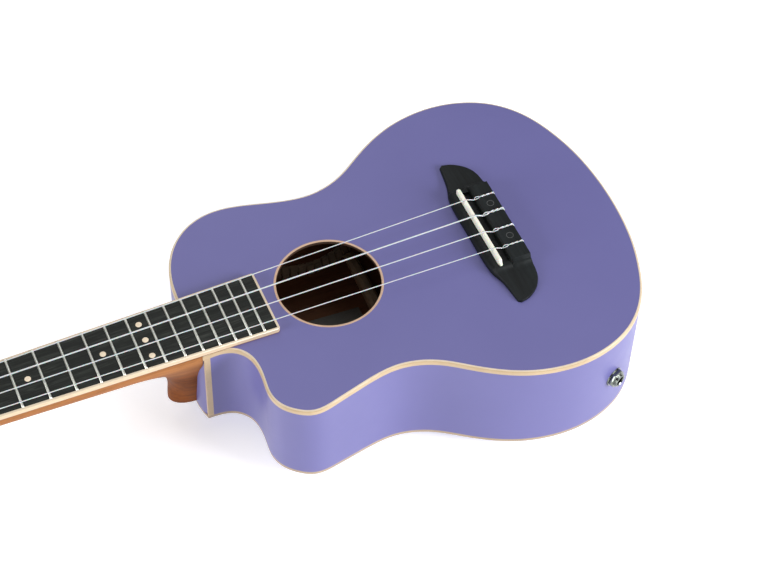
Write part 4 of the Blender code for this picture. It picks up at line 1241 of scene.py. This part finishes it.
def gear():
    loop = []
    pitch = 2 * math.pi / GEAR_TEETH
    flank = ((0.12, GEAR_TIP), (0.18, GEAR_TIP - 0.2), (0.30, GEAR_ROOT + 0.1), (0.36, GEAR_ROOT))
    shape = [(-share, radius) for share, radius in flank[::-1]] + [(0.0, GEAR_TIP), *flank]
    for tooth in range(GEAR_TEETH):
        for share, radius in shape:
            angle = pitch * (tooth + share)
            loop.append((radius * math.cos(angle), radius * math.sin(angle)))
    low = GEAR_MID - GEAR_THICK / 2
    return worked(plate("wheel", loop, low, low + GEAR_THICK), ("bevel", 0.12, 1, 60.0))


def screw_head(x, y, z, radius):
    """A domed cross-head screw seen from below the plate."""
    dome = [(0.0, -0.9), (radius * 0.55, -0.8), (radius * 0.9, -0.45), (radius, 0.0), (0.0, 0.0)]
    head = lathe("screw", dome, 32)
    arm = radius * 0.62
    for u, v in ((arm, 0.2), (0.2, arm)):
        head = worked(head, ("DIFFERENCE", box("cross", (-u, -v, -1.3), (u, v, -0.45))))
    return moved(head, Matrix.Translation((x, y, z)))


def machine_plate(side, worm):
    """A round-ended base plate with two ears that carry the shaft, and its screws."""
    low = -HEAD_THICK - 0.05 - PLATE_THICK
    near, far = -side * 6.4, worm + side * 3.1
    arc = []
    for k in range(13):
        t = math.pi * k / 12
        arc.append((7.9 * math.cos(t), side * 1.6 * (math.sin(t) - 1)))
    loop = [(x, far + y) for x, y in arc] + [(-x, near - y) for x, y in arc]
    base = plate("base", loop if side > 0 else loop[::-1], low, low + PLATE_THICK)
    ear = [(-2.5, low + 0.4), (2.5, low + 0.4)]
    ear += [(2.5 * math.cos(t), low - 3.2 - 2.5 * math.sin(t)) for t in np.linspace(0, math.pi, 13)]
    ears = []
    for x in (-6.9, 5.3):
        ears.append(grid("ear", [[(x + dx, worm + y, z) for y, z in ear] for dx in (0.0, 1.6)]))
    line = [(x, worm, GEAR_MID) for x in (-9.0, 0.0, 9.0)]
    through = bore(POST_R + 0.35, low + 4, low - 2, 32)
    holes = joined("holes", through, tube("bore", line, SHAFT_R + 0.12, 24))
    base = worked(base, ("UNION", ears[0]), ("UNION", ears[1]), ("DIFFERENCE", holes),
                  ("bevel", 0.18, 2, 50.0))
    screws = [screw_head(x, side * -4.2, low, 1.35) for x in (-5.4, 5.4)]
    return joined("machine", base, *screws)


def string_post():
    """The post with its string groove and hole, its wheel and the wheel's slotted screw."""
    bottom = GEAR_MID - GEAR_THICK / 2
    post = lathe("post", [
        (0.0, POST_TALL), (1.9, POST_TALL), (2.6, POST_TALL - 0.15), (2.95, POST_TALL - 0.6),
        (POST_R, POST_TALL - 1.1), (POST_R, 10.9), (2.75, 10.3), (2.5, 9.6), (2.5, 7.0), (2.75, 6.3),
        (POST_R, 5.8), (POST_R, bottom + 0.3), (2.0, bottom + 0.3), (2.0, bottom - 1.0),
        (1.7, bottom - 1.2), (0.0, bottom - 1.2),
    ], 48)
    hole = tube("hole", [(x, 0.0, 8.6) for x in (-6.0, 0.0, 6.0)], 0.75, 16)
    slot = box("slot", (-0.3, -2.4, bottom - 2.0), (0.3, 2.4, bottom - 0.7))
    return worked(post, ("UNION", gear()), ("DIFFERENCE", hole), ("DIFFERENCE", slot))


def make_tuners():
    collar = [
        (POST_R + 0.12, 1.3), (POST_R + 0.5, 1.5), (4.3, 1.2), (5.0, 0.5), (5.3, 0.02),
        (POST_R + 0.45, 0.02), (POST_R + 0.45, -4.0), (POST_R + 0.12, -4.0),
    ]
    along = Matrix(((0, 0, 1, 0), (1, 0, 0, 0), (0, 1, 0, 0), (0, 0, 0, 1)))
    for letter in POSTS:
        at, side = tuner_frame(letter)
        worm = side * CENTRES
        add(f"machine_plate_{letter}", machine_plate(side, worm), "chrome", place=at,
            replaces=[f"tuner_plate_{letter}"], smooth=30.0)
        bushing = lathe("bushing", collar, 48, True)
        add(f"post_bushing_{letter}", bushing, "chrome", place=at)
        add(f"string_post_{letter}", string_post(), "chrome", body=f"post_{letter}", place=at,
            replaces=[f"tuner_post_{letter}"], smooth=30.0)
        shaft = at @ Matrix.Translation((0.0, worm, GEAR_MID)) @ along
        add(f"tuning_knob_{letter}", button(0.0 if side > 0 else 0.5), "chrome",
            body=f"button_{letter}", place=shaft, replaces=[f"tuner_button_{letter}"], smooth=40.0)


# ---- stage


def make_stage():
    """A pale floor, a soft key from the front right, three fills and an even sky."""
    reach = 3000.0
    corners = [(-reach, -reach), (reach, -reach), (reach, reach), (-reach, reach)]
    floor = plate("floor", corners, -10.0, -0.02)
    obj = placed("floor", floor)
    n = Nodes("pale_floor")
    tone = n.ramp(n.noise(n.where, 3.0, 2.0), (0.3, 0.93), (0.7, 0.95))
    floor.materials.append(n.done(Base_Color=tone, Roughness=0.9, Specular_IOR_Level=0.1,
                                  Emission_Color=(1.0, 1.0, 1.0), Emission_Strength=0.42))
    for name, at, aim, power, size in (
        ("key", (1.75, -1.55, 0.8), (0.05, 0.0, 0.03), 71.0, 1.1),
        ("left", (-2.15, -0.3, 0.7), (-0.05, 0.0, 0.03), 40.0, 1.2),
        ("top", (0.4, 0.5, 2.3), (0.0, 0.0, 0.0), 17.0, 1.8),
        ("back", (0.2, 2.0, 1.2), (0.0, 0.0, 0.03), 10.0, 1.3),
    ):
        lamp = bpy.data.lights.new(name, "AREA")
        lamp.energy = power
        lamp.size = size
        holder = placed(name, lamp)
        holder.location = at
        holder.rotation_euler = (Vector(aim) - Vector(at)).to_track_quat("-Z", "Y").to_euler()
    world = bpy.data.worlds.new("soft_sky")
    world.use_nodes = True
    sky = world.node_tree.nodes["Background"]
    sky.inputs["Color"].default_value = (1.0, 1.0, 1.0, 1.0)
    sky.inputs["Strength"].default_value = 0.18
    scene = bpy.context.scene
    scene.world = world
    scene.view_settings.view_transform = "Standard"
    scene.view_settings.look = "None"


def make_camera():
    camera = bpy.data.cameras.new("camera")
    camera.sensor_width = 36.0
    camera.lens = CAMERA_LENS
    camera.clip_start = 0.01
    camera.clip_end = 20.0
    holder = placed("camera", camera)
    holder.location = (Vector(CAMERA_AT) + Vector(SADDLE_AT)) * MM
    holder.rotation_euler = Euler(CAMERA_TURN, "XYZ")
    bpy.context.scene.camera = holder


def dress_plain_solids():
    """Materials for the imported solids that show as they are."""
    looks = {"block": ("neck_block", "tail_block"), "braid": ("pickup_strip",)}
    looks["brace"] = ("bridge_plate", "back_brace_upper", "back_brace_lower", "top_brace_upper",
                      "top_brace_lower")
    for look, nodes in looks.items():
        for node in nodes:
            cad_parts[node].material_slots[0].material = LOOKS[look]


make_camera()
make_stage()
make_plates()
make_sides()
make_bindings()
make_inside()
make_neck()
make_fretboard()
make_nut()
make_bridge()
make_saddle()
make_strings()
make_jack()
make_tuners()
dress_plain_solids()

bpy.context.view_layer.update()
